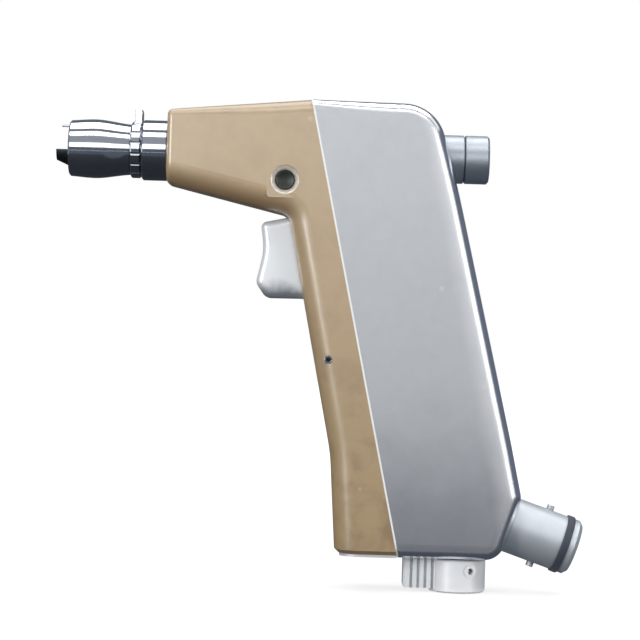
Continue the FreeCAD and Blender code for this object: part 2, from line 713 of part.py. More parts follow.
def release_collar():
    """The turning collar with its thumb tab."""
    x0, x1 = NOSE_LENGTH + AIR, NOSE_LENGTH + COLLAR_LENGTH - AIR
    outer = COLLAR_DIAMETER / 2
    edge = COLLAR_CHAMFER
    ring = turned_x([(x0 + edge, outer), (x1 - edge, outer), (x1, outer - edge), (x1, TAIL_DIAMETER / 2 + RUN),
                     (x0, TAIL_DIAMETER / 2 + RUN), (x0, outer - edge)])
    notch = COLLAR_NOTCH / 2
    for k in range(COLLAR_NOTCHES):
        angle = math.radians(TAB_CLEAR + k * (360 - 2 * TAB_CLEAR) / (COLLAR_NOTCHES - 1))
        y, z = (outer + notch / 2) * math.sin(angle), (outer + notch / 2) * math.cos(angle)
        ring = ring.cut(bar_x(notch, x0 - CUT, x1 + CUT, y, z))
    half = TAB_WIDTH / 2
    root = (TAIL_DIAMETER + outer) / 3
    tab = rounded_wire([
        (V(x0 + TAB_SETBACK, -half, root), 0), (V(x1, -half, root), 0),
        (V(x1, -half, TAB_HEIGHT - TAB_BEVEL), TAB_ROUND),
        (V(x1 - AIR, -half, TAB_HEIGHT), TAB_ROUND), (V(x0 + TAB_BEVEL, -half, TAB_HEIGHT), TAB_ROUND),
        (V(x0 + TAB_HOLLOW, -half, outer + COLLAR_CHAMFER), TAB_ROUND),
    ])
    tab = Part.Face(tab).extrude(V(0, TAB_WIDTH, 0))
    rim = [edge for edge in tab.Edges if edge.BoundBox.YLength < 0.01 and edge.BoundBox.ZMax > outer]
    tab = tab.makeFillet(TAB_ROUND, rim)
    return fused([ring, tab.cut(bar_x(root, x0 - CUT, x1 + CUT))])


def chuck_sleeve():
    """The chrome sleeve between collar and head, screwed on the gear case's neck."""
    outer, neck, tail = SLEEVE_DIAMETER / 2, NECK_DIAMETER / 2 + SEAT, TAIL_DIAMETER / 2 + SEAT
    x0 = NOSE_LENGTH + COLLAR_LENGTH
    return turned_x([
        (x0, tail), (x0, outer - SLEEVE_CHAMFER), (x0 + SLEEVE_CHAMFER, outer),
        (HEAD_X - SLEEVE_CHAMFER, outer), (HEAD_X, outer - SLEEVE_CHAMFER), (HEAD_X, neck), (NECK_X, neck), (NECK_X, tail),
    ])


def spindle():
    """The hollow spindle with its tool socket, front flange and a shoulder behind the lock spring."""
    flange, body, seat = FLANGE_DIAMETER / 2, SPINDLE_DIAMETER / 2, BEARING_BORE / 2
    socket, bore = SOCKET_BORE / 2, SHAFT_BORE / 2
    step = NECK_X - SPINDLE_STEP
    stop = LOCK_STOP + LOCK_STOP_WIDTH
    solid = turned_x([
        (0, socket), (0, flange - FLANGE_CHAMFER), (FLANGE_CHAMFER, flange), (FLANGE_LENGTH, flange),
        (FLANGE_LENGTH, body), (LOCK_STOP, body), (LOCK_STOP, flange), (stop, flange), (stop, body),
        (step, body), (step, seat), (SPINDLE_END, seat), (SPINDLE_END, bore), (SOCKET_DEPTH, bore), (SOCKET_DEPTH, socket),
    ])
    for y, z in around(PLANETS, LOCK_BALL_RADIUS + body):
        hole = cylinder(LOCK_BALL_RADIUS + RUN, V(LOCK_BALL_X, 0, 0), V(LOCK_BALL_X, y, z))
        solid = solid.cut(hole)
    return solid.cut(dog_peg(0))


def around(count, radius, start=90.0):
    """Points (y, z) evenly round the spindle axis."""
    step = 360 / count
    angles = [math.radians(start + k * step) for k in range(count)]
    return [(radius * math.cos(angle), radius * math.sin(angle)) for angle in angles]


def dog_place():
    """Where the drive dog's peg enters the flange."""
    radius = (SOCKET_BORE / 2 + FLANGE_DIAMETER / 2) / 2
    angle = math.radians(DOG_ANGLE)
    return radius * math.cos(angle), radius * math.sin(angle)


def dog_peg(extra):
    """The peg that carries the drive dog."""
    y, z = dog_place()
    return bar_x(DOG_PEG / 2, -extra, FLANGE_LENGTH - FLANGE_CHAMFER, y, z)


def drive_dog():
    """The dark dog on the spindle's face, which turns an attachment."""
    outer, inner = FLANGE_DIAMETER / 2, SOCKET_BORE / 2 + DOG_MARGIN
    ring = turned_x([(0, inner), (0, outer), (-DOG_REACH, outer - DOG_TAPER), (-DOG_REACH, inner)])
    wedge = Part.Face(Part.makePolygon([V(0, 0, 0)] + [
        V(0, 2 * outer * math.cos(math.radians(a)), 2 * outer * math.sin(math.radians(a)))
        for a in (DOG_ANGLE - DOG_SPREAD / 2, DOG_ANGLE + DOG_SPREAD / 2)] + [V(0, 0, 0)]))
    wedge = wedge.extrude(V(-DOG_REACH, 0, 0))
    return fused([ring.common(wedge), dog_peg(DOG_ROOT)])


def locking_balls():
    """Three balls in the spindle's wall that hold a tool shank."""
    radius = SPINDLE_DIAMETER / 2 - LOCK_BALL_RADIUS - RUN
    return [Part.makeSphere(LOCK_BALL_RADIUS, V(LOCK_BALL_X, y, z)) for y, z in around(PLANETS, radius)]


def locking_ring():
    """The ring that traps the balls, and frees them when the collar draws it back."""
    inner, outer = SPINDLE_DIAMETER / 2 + RUN, FLANGE_DIAMETER / 2 - LOCK_INSET
    ring = tube_x(outer, inner, LOCK_RING_X, LOCK_RING_X + LOCK_RING_LENGTH)
    return ring.cut(bar_x(inner + BALL_RELIEF, LOCK_RING_X - CUT, LOCK_RING_X + BALL_RELIEF_LENGTH))


def coil(start, axis, length, radius, wire, turns):
    """A coil spring on an axis from a start point: each half turn is a tilted arc, and its ends are open."""
    rise = (length - wire) / (2 * turns)
    reach = math.hypot(radius, rise / 2)
    path = []
    for k in range(2 * turns):
        side = 1 if k % 2 == 0 else -1
        low = wire / 2 + k * rise
        middle = V(0, side * reach, low + rise / 2)
        path.append(Part.Arc(V(side * radius, 0, low), middle, V(-side * radius, 0, low + rise)).toShape())
    section = Part.Wire(Part.makeCircle(wire / 2, V(radius, 0, wire / 2), AXIS_Y))
    spring = Part.Wire(path).makePipeShell([section], True, False)
    spring.Placement = FreeCAD.Placement(start, FreeCAD.Rotation(AXIS_Z, axis)).multiply(spring.Placement)
    return spring


def locking_spring():
    """The spring behind the locking ring."""
    start = LOCK_RING_X + LOCK_RING_LENGTH
    radius = SPINDLE_DIAMETER / 2 + RUN * 2 + LOCK_WIRE / 2
    return coil(V(start, 0, 0), AXIS_X, LOCK_STOP - start, radius, LOCK_WIRE, LOCK_TURNS)


# Gear train

def involute(angle):
    """The involute function of a pressure angle in radians."""
    return math.tan(angle) - angle


def gear_face(teeth, root, tip, phase, thinning, x):
    """A toothed face across the spindle axis at x; one tooth is centred at the phase angle."""
    pitch_radius = MODULE * teeth / 2
    pressure = math.radians(PRESSURE_ANGLE)
    base = pitch_radius * math.cos(pressure)
    half_pitch = math.pi / (2 * teeth) - thinning / (2 * pitch_radius)
    low = max(base, root)

    def point(radius, angle):
        return V(x, radius * math.cos(angle), radius * math.sin(angle))

    def half_angle(radius):
        return half_pitch + involute(pressure) - involute(math.acos(min(1, base / radius)))

    middle = (low + tip) / 2
    edges = []
    for k in range(teeth):
        centre = math.radians(phase) + 2 * math.pi * k / teeth
        following = centre + 2 * math.pi / teeth
        for side in (-1, 1):
            foot, flank, crown = [point(r, centre + side * half_angle(r)) for r in (low, middle, tip)]
            edges.append(Part.Arc(foot, flank, crown).toShape())
            if root < low - 0.001:
                edges.append(Part.LineSegment(point(root, centre + side * half_angle(low)), foot).toShape())
        reach = half_angle(tip)
        ends = point(tip, centre - reach), point(tip, centre + reach)
        edges.append(Part.Arc(ends[0], point(tip, centre), ends[1]).toShape())
        reach = half_angle(low)
        floor = min(root, low)
        edges.append(Part.Arc(point(floor, centre + reach), point(floor, centre + math.pi / teeth),
                              point(floor, following - reach)).toShape())
    return Part.Face(Part.Wire(Part.__sortEdges__(edges)))


def gear_bar(teeth, phase, x0, x1):
    """A solid bar with outer teeth."""
    pitch_radius = MODULE * teeth / 2
    root, tip = pitch_radius - DEDENDUM * MODULE, pitch_radius + ADDENDUM * MODULE
    face = gear_face(teeth, root, tip, phase, BACKLASH, x0)
    return face.extrude(V(x1 - x0, 0, 0))


def ring_gear():
    """The fixed ring whose inner teeth both planet stages run in."""
    pitch_radius = MODULE * RING_TEETH / 2
    root = pitch_radius + DEDENDUM * MODULE
    tip = pitch_radius - RING_ADDENDUM * MODULE
    x0, x1 = RING_X, CASE_END
    room = gear_face(RING_TEETH, tip, root, 180 / RING_TEETH, -BACKLASH, x0 - 1).extrude(V(x1 - x0 + 2, 0, 0))
    return bar_x(root + RING_WALL, x0, x1).cut(room)


def planet_places():
    """The planets' centres (y, z) round the spindle axis."""
    return around(PLANETS, MODULE * (SUN_TEETH + PLANET_TEETH) / 2)


def planets(x0):
    """The planet gears of one stage, in mesh with sun and ring."""
    gears = []
    for k, (y, z) in enumerate(planet_places()):
        towards = 90 + k * 360 / PLANETS
        gear = gear_bar(PLANET_TEETH, towards + 180 / PLANET_TEETH, x0, x0 + GEAR_WIDTH)
        gear = gear.cut(bar_x(PLANET_PIN / 2 + RUN, x0 - 1, x0 + GEAR_WIDTH + 1))
        gear.translate(V(0, y, z))
        gears.append(gear)
    return gears


def planet_pins(x0):
    """The pins of one stage, seated in the carrier that ends at x0."""
    start = x0 - CARRIER_THICKNESS
    end = x0 + CARRIER_GAP + GEAR_WIDTH + PIN_PROUD
    return [bar_x(PLANET_PIN / 2, start, end, y, z) for y, z in planet_places()]


def carrier(x0, bore):
    """A carrier disc with holes for its planet pins."""
    radius = MODULE * (SUN_TEETH + PLANET_TEETH) / 2 + PLANET_PIN / 2 + CARRIER_RIM
    disc = bar_x(radius, x0, x0 + CARRIER_THICKNESS).cut(bar_x(bore, x0 - 1, x0 + CARRIER_THICKNESS + 1))
    for y, z in planet_places():
        disc = disc.cut(bar_x(PLANET_PIN / 2, x0 - 1, x0 + CARRIER_THICKNESS + 1, y, z))
    return disc


def input_carrier():
    """The first stage's carrier, with the second stage's sun in front of it."""
    start = INPUT_CARRIER_X
    sun = gear_bar(SUN_TEETH, 90, OUTPUT_CARRIER_X + CARRIER_THICKNESS + 2 * AIR, start + 1)
    whole = fused([carrier(start, SHAFT_BORE / 2), sun])
    return whole.cut(bar_x(SHAFT_BORE / 2, OUTPUT_CARRIER_X, start + CARRIER_THICKNESS + 1))


def gear_case():
    """The case that holds the spindle's bearings in its neck and the ring gear behind."""
    neck, bore = NECK_DIAMETER / 2, BEARING_OUTER / 2
    step = bore - BEARING_LIP
    inner = CASE_RADIUS - CASE_WALL
    rear = CASE_END + COVER_THICKNESS
    return turned_x([
        (NECK_X, bore), (NECK_X, neck), (CASE_X, neck), (CASE_X, CASE_RADIUS), (rear, CASE_RADIUS),
        (rear, inner), (CASE_X + PLATE_LIP, inner), (CASE_X + PLATE_LIP, step),
        (CASE_X, step), (CASE_X, bore), (CASE_X - BEARING_WIDTH, bore), (CASE_X - BEARING_WIDTH, step),
        (FRONT_BEARING_X + BEARING_WIDTH, step), (FRONT_BEARING_X + BEARING_WIDTH, bore),
    ])


def gear_case_cover():
    """The plate that closes the gear case behind the ring gear."""
    outer = CASE_RADIUS - CASE_WALL - SEAT
    return tube_x(outer, BEARING_BORE / 2 + 2 * AIR, CASE_END, CASE_END + COVER_THICKNESS)


def spindle_seal():
    """The lip seal in front of the front bearing."""
    return tube_x(BEARING_OUTER / 2 - SEAT, BEARING_BORE / 2 + RUN, NECK_X, FRONT_BEARING_X)


def ball_track(x0, gap):
    """The ring-shaped room that a bearing's balls run in."""
    radius = (BEARING_BORE + BEARING_OUTER) / 4
    return Part.makeTorus(radius, BALL_DIAMETER / 2 + gap, V(x0 + BEARING_WIDTH / 2, 0, 0), AXIS_X)


def bearing_outer(x0):
    """A bearing's outer ring and its balls."""
    pitch_radius = (BEARING_BORE + BEARING_OUTER) / 4
    ring = tube_x(BEARING_OUTER / 2 - SEAT, pitch_radius + RACE_LAND, x0, x0 + BEARING_WIDTH)
    ring = ring.cut(ball_track(x0, 0))
    balls = [Part.makeSphere(BALL_DIAMETER / 2 - RUN / 2, V(x0 + BEARING_WIDTH / 2, y, z))
             for y, z in around(BALLS, pitch_radius)]
    return [ring] + balls


def bearing_race(x0):
    """A bearing's inner race."""
    radius = (BEARING_BORE + BEARING_OUTER) / 4
    return tube_x(radius - RACE_LAND, BEARING_BORE / 2, x0, x0 + BEARING_WIDTH).cut(ball_track(x0, RUN))


# Air motor

def rotor_shaft():
    """The motor's hollow shaft with the first sun's teeth at its front."""
    sun_end = INPUT_CARRIER_X + CARRIER_THICKNESS + CARRIER_GAP + GEAR_WIDTH
    sun_start = INPUT_CARRIER_X + CARRIER_THICKNESS + CARRIER_GAP / 2
    sun = gear_bar(SUN_TEETH, 90, sun_start, sun_end + SUN_RUNOUT)
    shaft = bar_x(BEARING_BORE / 2, sun_end + SUN_LAND, MOTOR_END)
    return fused([sun, shaft]).cut(bar_x(SHAFT_BORE / 2, INPUT_CARRIER_X, MOTOR_END + 1))


def vane_blocks(gap):
    """The vanes, or with a gap the slots that they slide in."""
    radius = ROTOR_DIAMETER / 2
    half = VANE_THICKNESS / 2 + gap
    low = BEARING_BORE / 2 + VANE_FLOOR
    blocks = []
    for k in range(VANES):
        vane = block(ROTOR_X, ROTOR_X + ROTOR_LENGTH, -half, half, low, radius + (CUT if gap else 0))
        vane.rotate(V(0, 0, 0), AXIS_X, k * 360 / VANES)
        blocks.append(vane)
    return blocks


def rotor():
    """The slotted rotor on its shaft."""
    body = tube_x(ROTOR_DIAMETER / 2, BEARING_BORE / 2, ROTOR_X, ROTOR_X + ROTOR_LENGTH)
    return body.cut(vane_blocks(RUN))


def feed_bore(top):
    """The air passage from the valve up to the motor."""
    start = V(FEED_DEPTH, 0, -VALVE_POCKET_TOP - 1)
    return leaning(cylinder(TUBE_INNER / 2, start, V(FEED_DEPTH, 0, -top)))


def motor_cylinder():
    """The motor's liner, with its bore off centre and an air port below."""
    x0, x1 = ROTOR_X - AIR, ROTOR_X + ROTOR_LENGTH + AIR
    liner = bar_x(MOTOR_DIAMETER / 2, x0, x1)
    liner = liner.cut(bar_x(MOTOR_BORE / 2, x0 - 1, x1 + 1, 0, -ECCENTRICITY))
    return liner.cut(feed_bore(BODY_TOP + ROTOR_DIAMETER / 2))


def motor_plate(open_end, closed_end):
    """An end plate with its bearing's seat open at one end and a lip at the other."""
    outer, seat, lip = MOTOR_DIAMETER / 2, BEARING_OUTER / 2, BEARING_OUTER / 2 - MOTOR_LIP
    step = closed_end - PLATE_LIP if closed_end > open_end else closed_end + PLATE_LIP
    return turned_x([(open_end, seat), (open_end, outer), (closed_end, outer), (closed_end, lip), (step, lip),
                     (step, seat)])


def cannula_tube():
    """The thin tube through motor and gears that a guide wire passes through."""
    return tube_x(CANNULA_OUTER / 2, CANNULA_BORE / 2, SOCKET_DEPTH + 1, BOSS_X + BOSS_WEB)


def cannula_boss():
    """The fixed half of the rear knob."""
    outer, inner = KNOB_DIAMETER / 2, CAP_SKIRT / 2 + 2 * RUN
    return turned_x([
        (BOSS_X, CANNULA_OUTER / 2), (BOSS_X, outer), (KNOB_SEAM_X - KNOB_CHAMFER, outer),
        (KNOB_SEAM_X, outer - KNOB_CHAMFER),
        (KNOB_SEAM_X, inner), (BOSS_X + BOSS_WEB, inner), (BOSS_X + BOSS_WEB, CANNULA_OUTER / 2),
    ])


def cannula_cap():
    """The turning cap with its skirt inside the boss."""
    outer, skirt, bore = KNOB_DIAMETER / 2, CAP_SKIRT / 2, CAP_BORE / 2
    x0, x1 = KNOB_SEAM_X + AIR, KNOB_SEAM_X + KNOB_LENGTH
    start = BOSS_X + BOSS_WEB + 2 * AIR
    cap = turned_x([
        (start, bore), (start, skirt), (x0, skirt), (x0, outer - KNOB_CHAMFER), (x0 + KNOB_CHAMFER, outer),
        (x1 - CAP_CHAMFER, outer), (x1, outer - CAP_CHAMFER), (x1, bore),
    ])
    return cap.cut(cap_seal())


def cap_seal():
    """The small ring in the cap's skirt."""
    station = (BOSS_X + BOSS_WEB + KNOB_SEAM_X) / 2
    return Part.makeTorus(CAP_SKIRT / 2 - SEAL_SECTION / 2 + RUN, SEAL_SECTION / 2, V(station, 0, 0), AXIS_X)


# Trigger and valve

def trigger():
    """The trigger with the finger's hollow in front and a retaining flange inside the grip."""
    back = trigger_back()
    front = GRIP_DEPTH + TRIGGER_REACH
    hollow = GRIP_DEPTH + TRIGGER_HOLLOW
    half = TRIGGER_WIDTH / 2
    corners = [
        (V(-back, -half, -TRIGGER_TOP), 0),
        (V(-hollow + TIP_REACH, -half, -TRIGGER_TOP), TIP_ROUND),
        (V(-hollow, -half, -TRIGGER_TOP - HOLLOW_DROP), HOLLOW_RADIUS),
        (V(-front - LIP_PROUD, -half, -TRIGGER_BOTTOM + LIP_RISE), LIP_ROUND),
        (V(-front + TOE_SETBACK, -half, -TRIGGER_BOTTOM + TOE_RISE), LIP_ROUND),
        (V(-GRIP_DEPTH, -half, -TRIGGER_BOTTOM), 0),
        (V(-back, -half, -TRIGGER_BOTTOM), 0),
    ]
    solid = Part.Face(rounded_wire(corners)).extrude(V(0, TRIGGER_WIDTH, 0))
    rims = [edge for edge in solid.Edges if abs(edge.tangentAt(edge.FirstParameter).y) < 0.1]
    rims = [edge for edge in rims if edge.BoundBox.XMax < -back - 0.1 or edge.BoundBox.XLength > 3]
    solid = solid.makeFillet(TRIGGER_ROUND, rims)
    wide = half + TRIGGER_LIP
    flange = block(-back - TRIGGER_FLANGE, -back, -wide, wide, -TRIGGER_BOTTOM + CUT, -TRIGGER_TOP - CUT)
    solid = fused([solid, flange])
    hole = cylinder(STEM_DIAMETER / 2, V(-back - STEM_GRIP, 0, -STEM_S), V(0, 0, -STEM_S))
    return leaning(solid.cut(hole))


def trigger_back():
    """The depth of the trigger's rear face in front of the split."""
    return GRIP_DEPTH - WALL - AIR - TRIGGER_FLANGE


def valve_stem():
    """The stem from the trigger to the valve's cone."""
    start = V(-trigger_back() - STEM_GRIP, 0, -STEM_S)
    seat = VALVE_SEAT + AIR
    stem = cylinder(STEM_DIAMETER / 2, start, V(seat + VALVE_CONE, 0, -STEM_S))
    cone = Part.makeCone(VALVE_HEAD / 2 - VALVE_STEP, VALVE_HEAD / 2, VALVE_CONE, V(seat, 0, -STEM_S), AXIS_X)
    head = cylinder(VALVE_HEAD / 2, V(seat + VALVE_CONE, 0, -STEM_S), V(seat + 2 * VALVE_CONE, 0, -STEM_S))
    return leaning(fused([stem, cone, head]))


def trigger_spring():
    """The spring that pushes the trigger out."""
    length = VALVE_FRONT + trigger_back()
    radius = STEM_DIAMETER / 2 + SPRING_GAP + SPRING_WIRE
    return leaning(coil(V(-trigger_back(), 0, -STEM_S), AXIS_X, length, radius, SPRING_WIRE, SPRING_TURNS))


def valve_body():
    """The valve block: feed room in front of the seat, inlet room behind it."""
    half = VALVE_WIDTH / 2
    end = VALVE_FRONT + VALVE_LENGTH
    low = 2 * STEM_S - VALVE_POCKET_TOP
    body = block(VALVE_FRONT, end, -half, half, -low, -VALVE_POCKET_TOP)
    body = body.makeFillet(VALVE_ROUND, [edge for edge in body.Edges if abs(edge.tangentAt(0).z) > 0.9])
    chamber = VALVE_HEAD / 2 + VALVE_ROOM
    seat = VALVE_SEAT - VALVE_LAND
    rooms = [
        cylinder(STEM_DIAMETER / 2 + RUN, V(VALVE_FRONT - CUT, 0, -STEM_S), V(end / 2, 0, -STEM_S)),
        cylinder(chamber, V(VALVE_FRONT + STEM_GUIDE, 0, -STEM_S), V(seat, 0, -STEM_S)),
        cylinder(VALVE_HEAD / 2 - VALVE_STEP, V(seat - CUT, 0, -STEM_S), V(VALVE_SEAT + CUT, 0, -STEM_S)),
        cylinder(chamber, V(VALVE_SEAT, 0, -STEM_S), V(end - VALVE_ROUND, 0, -STEM_S)),
        cylinder(TUBE_INNER / 2, V(FEED_DEPTH, 0, -STEM_S), V(FEED_DEPTH, 0, -VALVE_POCKET_TOP + CUT)),
        cylinder(TUBE_INNER / 2, V(INLET_DEPTH, 0, -low - CUT), V(INLET_DEPTH, 0, -STEM_S)),
    ]
    return leaning(body.cut(fused(rooms)))


def inlet_path():
    """The air tube's middle line, from the hose port up to the valve."""
    start = spigot_point(-SPIGOT_TAIL + SPIGOT_WEB)
    fall = depth_of(spigot_point(1)) - depth_of(spigot_point(0))
    corner = spigot_point((INLET_DEPTH - depth_of(spigot_point(0))) / fall)
    end = lean(INLET_DEPTH, 2 * STEM_S - VALVE_POCKET_TOP)
    return rounded_wire([(start, 0), (corner, TUBE_BEND), (end, 0)], close=False)


def inlet_tube():
    """The bent tube that brings air to the valve."""
    path = inlet_path()
    start = spigot_point(-SPIGOT_TAIL + SPIGOT_WEB)
    tubes = [path.makePipeShell([Part.Wire(Part.makeCircle(radius, start, spigot_axis()))], True, False)
             for radius in (TUBE_OUTER / 2, TUBE_INNER / 2)]
    return tubes[0].cut(tubes[1])


def exhaust_silencer():
    """The porous sleeve round the air tube."""
    start, end = V(INLET_DEPTH, 0, -SILENCER_S - SILENCER_LENGTH), V(INLET_DEPTH, 0, -SILENCER_S)
    bore = cylinder(TUBE_OUTER / 2, start - AXIS_Z, end + AXIS_Z)
    return leaning(cylinder(SILENCER_DIAMETER / 2, start, end).cut(bore))


# Safety button

def safety_button():
    """The cross bolt: its near end lies sunk in the countersink, its far end stands out."""
    radius = BUTTON_DIAMETER / 2
    near, far = -(HALF - PAD_STEP - BUTTON_RECESS), HALF - PAD_STEP - BUTTON_RECESS + BUTTON_TRAVEL
    bolt = cylinder(radius, V(BUTTON_X, near, BUTTON_Z), V(BUTTON_X, far, BUTTON_Z))
    bolt = bolt.makeChamfer(BUTTON_CHAMFER, [edge for edge in bolt.Edges if edge.BoundBox.YLength < 0.01])
    offset = DISH_RADIUS - DISH_DEPTH
    for end in (near, far):
        bolt = bolt.cut(Part.makeSphere(DISH_RADIUS, V(BUTTON_X, end + math.copysign(offset, end), BUTTON_Z)))
    return bolt


def detent_room():
    """The room of the detent plunger below the bolt."""
    top = BUTTON_Z - BUTTON_DIAMETER / 2 - RUN
    start, end = V(BUTTON_X, DETENT_Y, top - DETENT_LENGTH), V(BUTTON_X, DETENT_Y, top + CUT)
    return cylinder(DETENT_DIAMETER / 2, start, end)


def button_detent():
    """The spring plunger that holds the bolt at either end."""
    top = BUTTON_Z - BUTTON_DIAMETER / 2 - RUN
    radius = DETENT_DIAMETER / 2
    bar = cylinder(radius, V(BUTTON_X, DETENT_Y, top - DETENT_LENGTH), V(BUTTON_X, DETENT_Y, top - radius))
    return bar.fuse(Part.makeSphere(radius, V(BUTTON_X, DETENT_Y, top - radius))).removeSplitter()


# Base lever and hose port

def screw_axis():
    """The lever screw's direction, into the hub."""
    angle = math.radians(LEVER_SCREW_ANGLE)
    return V(-math.sin(angle), math.cos(angle), 0)


def screw_head():
    """The outer end of the lever screw, flush with the hub."""
    return V(LEVER_X, 0, LEVER_TOP - LEVER_SCREW_DROP) - screw_axis() * (HUB_DIAMETER / 2)


def lever_screw():
    """The clamp screw with its hexagon socket."""
    head, axis = screw_head(), screw_axis()
    body = cylinder(LEVER_SCREW / 2, head, head + axis * LEVER_SCREW_HEAD)
    shank = cylinder(LEVER_SCREW / 4, head + axis, head + axis * (HUB_DIAMETER / 2 - LEVER_SHAFT / 2))
    return hex_socket(fused([body, shank]), head, axis, LEVER_SCREW / 4, LEVER_SCREW_HEAD * 0.7)


def base_lever():
    """The ribbed lever that turns about its hub under the base."""
    low = LEVER_TOP - LEVER_HEIGHT
    hub = cylinder(HUB_DIAMETER / 2, V(LEVER_X, 0, low), V(LEVER_X, 0, LEVER_TOP))
    hub = hub.makeChamfer(LEVER_CHAMFER, [edge for edge in hub.Edges if edge.BoundBox.ZLength < 0.01])
    half = LEVER_WIDTH / 2
    end = LEVER_X - LEVER_REACH
    tongue = block(end, LEVER_X, -half, half, low + LEVER_STEP, LEVER_TOP)
    front = [edge for edge in tongue.Edges if edge.BoundBox.XMax < end + 0.01]
    tongue = tongue.makeChamfer(LEVER_CHAMFER, front)
    for k in range(RIBS):
        x = end + RIB_START + k * RIB_PITCH
        for side in (-1, 1):
            y0, y1 = sorted((side * (half - RIB_DEPTH), side * (half + CUT)))
            tongue = tongue.cut(block(x, x + RIB_GROOVE, y0, y1, low - CUT, LEVER_TOP + CUT))
    lever = fused([hub, tongue])
    bore = cylinder(LEVER_SHAFT / 2, V(LEVER_X, 0, low + LEVER_FLOOR), V(LEVER_X, 0, LEVER_TOP + CUT))
    lever = lever.cut(bore)
    head, axis = screw_head(), screw_axis()
    lever = lever.cut(cylinder(LEVER_SCREW / 2, head - axis, head + axis * LEVER_SCREW_HEAD))
    return lever.cut(cylinder(LEVER_SCREW / 4, head, head + axis * (HUB_DIAMETER / 2)))


def selector_shaft():
    """The shaft from the lever through the base to the selector disc."""
    low = LEVER_TOP - LEVER_HEIGHT + LEVER_FLOOR
    top = V(LEVER_X, 0, SELECTOR_Z)
    shaft = cylinder(LEVER_SHAFT / 2, V(LEVER_X, 0, low), top)
    disc = cylinder(SELECTOR_DIAMETER / 2, top - V(0, 0, SELECTOR_THICKNESS), top)
    return fused([shaft, disc])


def hose_spigot():
    """The hose port with its bore, ring groove and inner web."""
    outer = SPIGOT_DIAMETER / 2
    body = cylinder(outer, spigot_point(0), spigot_point(SPIGOT_LENGTH))
    rims = [edge for edge in body.Edges if edge.CenterOfMass.sub(spigot_point(SPIGOT_LENGTH)).Length < 0.01]
    body = body.makeChamfer(SPIGOT_CHAMFER, rims)
    body = fused([body, cylinder(SPIGOT_TAIL_RADIUS, spigot_point(-SPIGOT_TAIL), spigot_point(1))])
    web = spigot_point(-SPIGOT_TAIL + SPIGOT_WEB)
    body = body.cut(cylinder(SPIGOT_BORE / 2, web, spigot_point(SPIGOT_LENGTH + CUT)))
    body = body.cut(cylinder(TUBE_OUTER / 2, spigot_point(-SPIGOT_TAIL - 1), spigot_point(0)))
    axis = spigot_axis()
    side = V(-axis.z, 0, axis.x)
    for k in range(EXHAUST_HOLES):
        angle = 2 * math.pi * (k + 0.5) / EXHAUST_HOLES
        away = side * math.cos(angle) + AXIS_Y * math.sin(angle)
        radius = (TUBE_OUTER / 2 + SPIGOT_BORE / 2) / 2
        start = spigot_point(-SPIGOT_TAIL - 1) + away * radius
        body = body.cut(cylinder(EXHAUST_HOLE / 2, start, start + axis * (SPIGOT_WEB + 2)))
    body = body.cut(spigot_oring())
    return body.cut(fused(bayonet_pins()))


def spigot_oring():
    """The black ring near the hose port's tip."""
    radius = SPIGOT_DIAMETER / 2 - ORING_SECTION / 2 + ORING_PROUD
    return Part.makeTorus(radius, ORING_SECTION / 2, spigot_point(ORING_STATION), spigot_axis())


def bayonet_pins():
    """Two pins that stand out of the hose port above and below."""
    outer = SPIGOT_DIAMETER / 2
    pins = []
    for side in (-1, 1):
        start = spigot_point(BAYONET_STATION, side * (outer - BAYONET_SEAT))
        end = spigot_point(BAYONET_STATION, side * (outer + BAYONET_PROUD))
        pins.append(cylinder(BAYONET_DIAMETER / 2, start, end))
    return pins


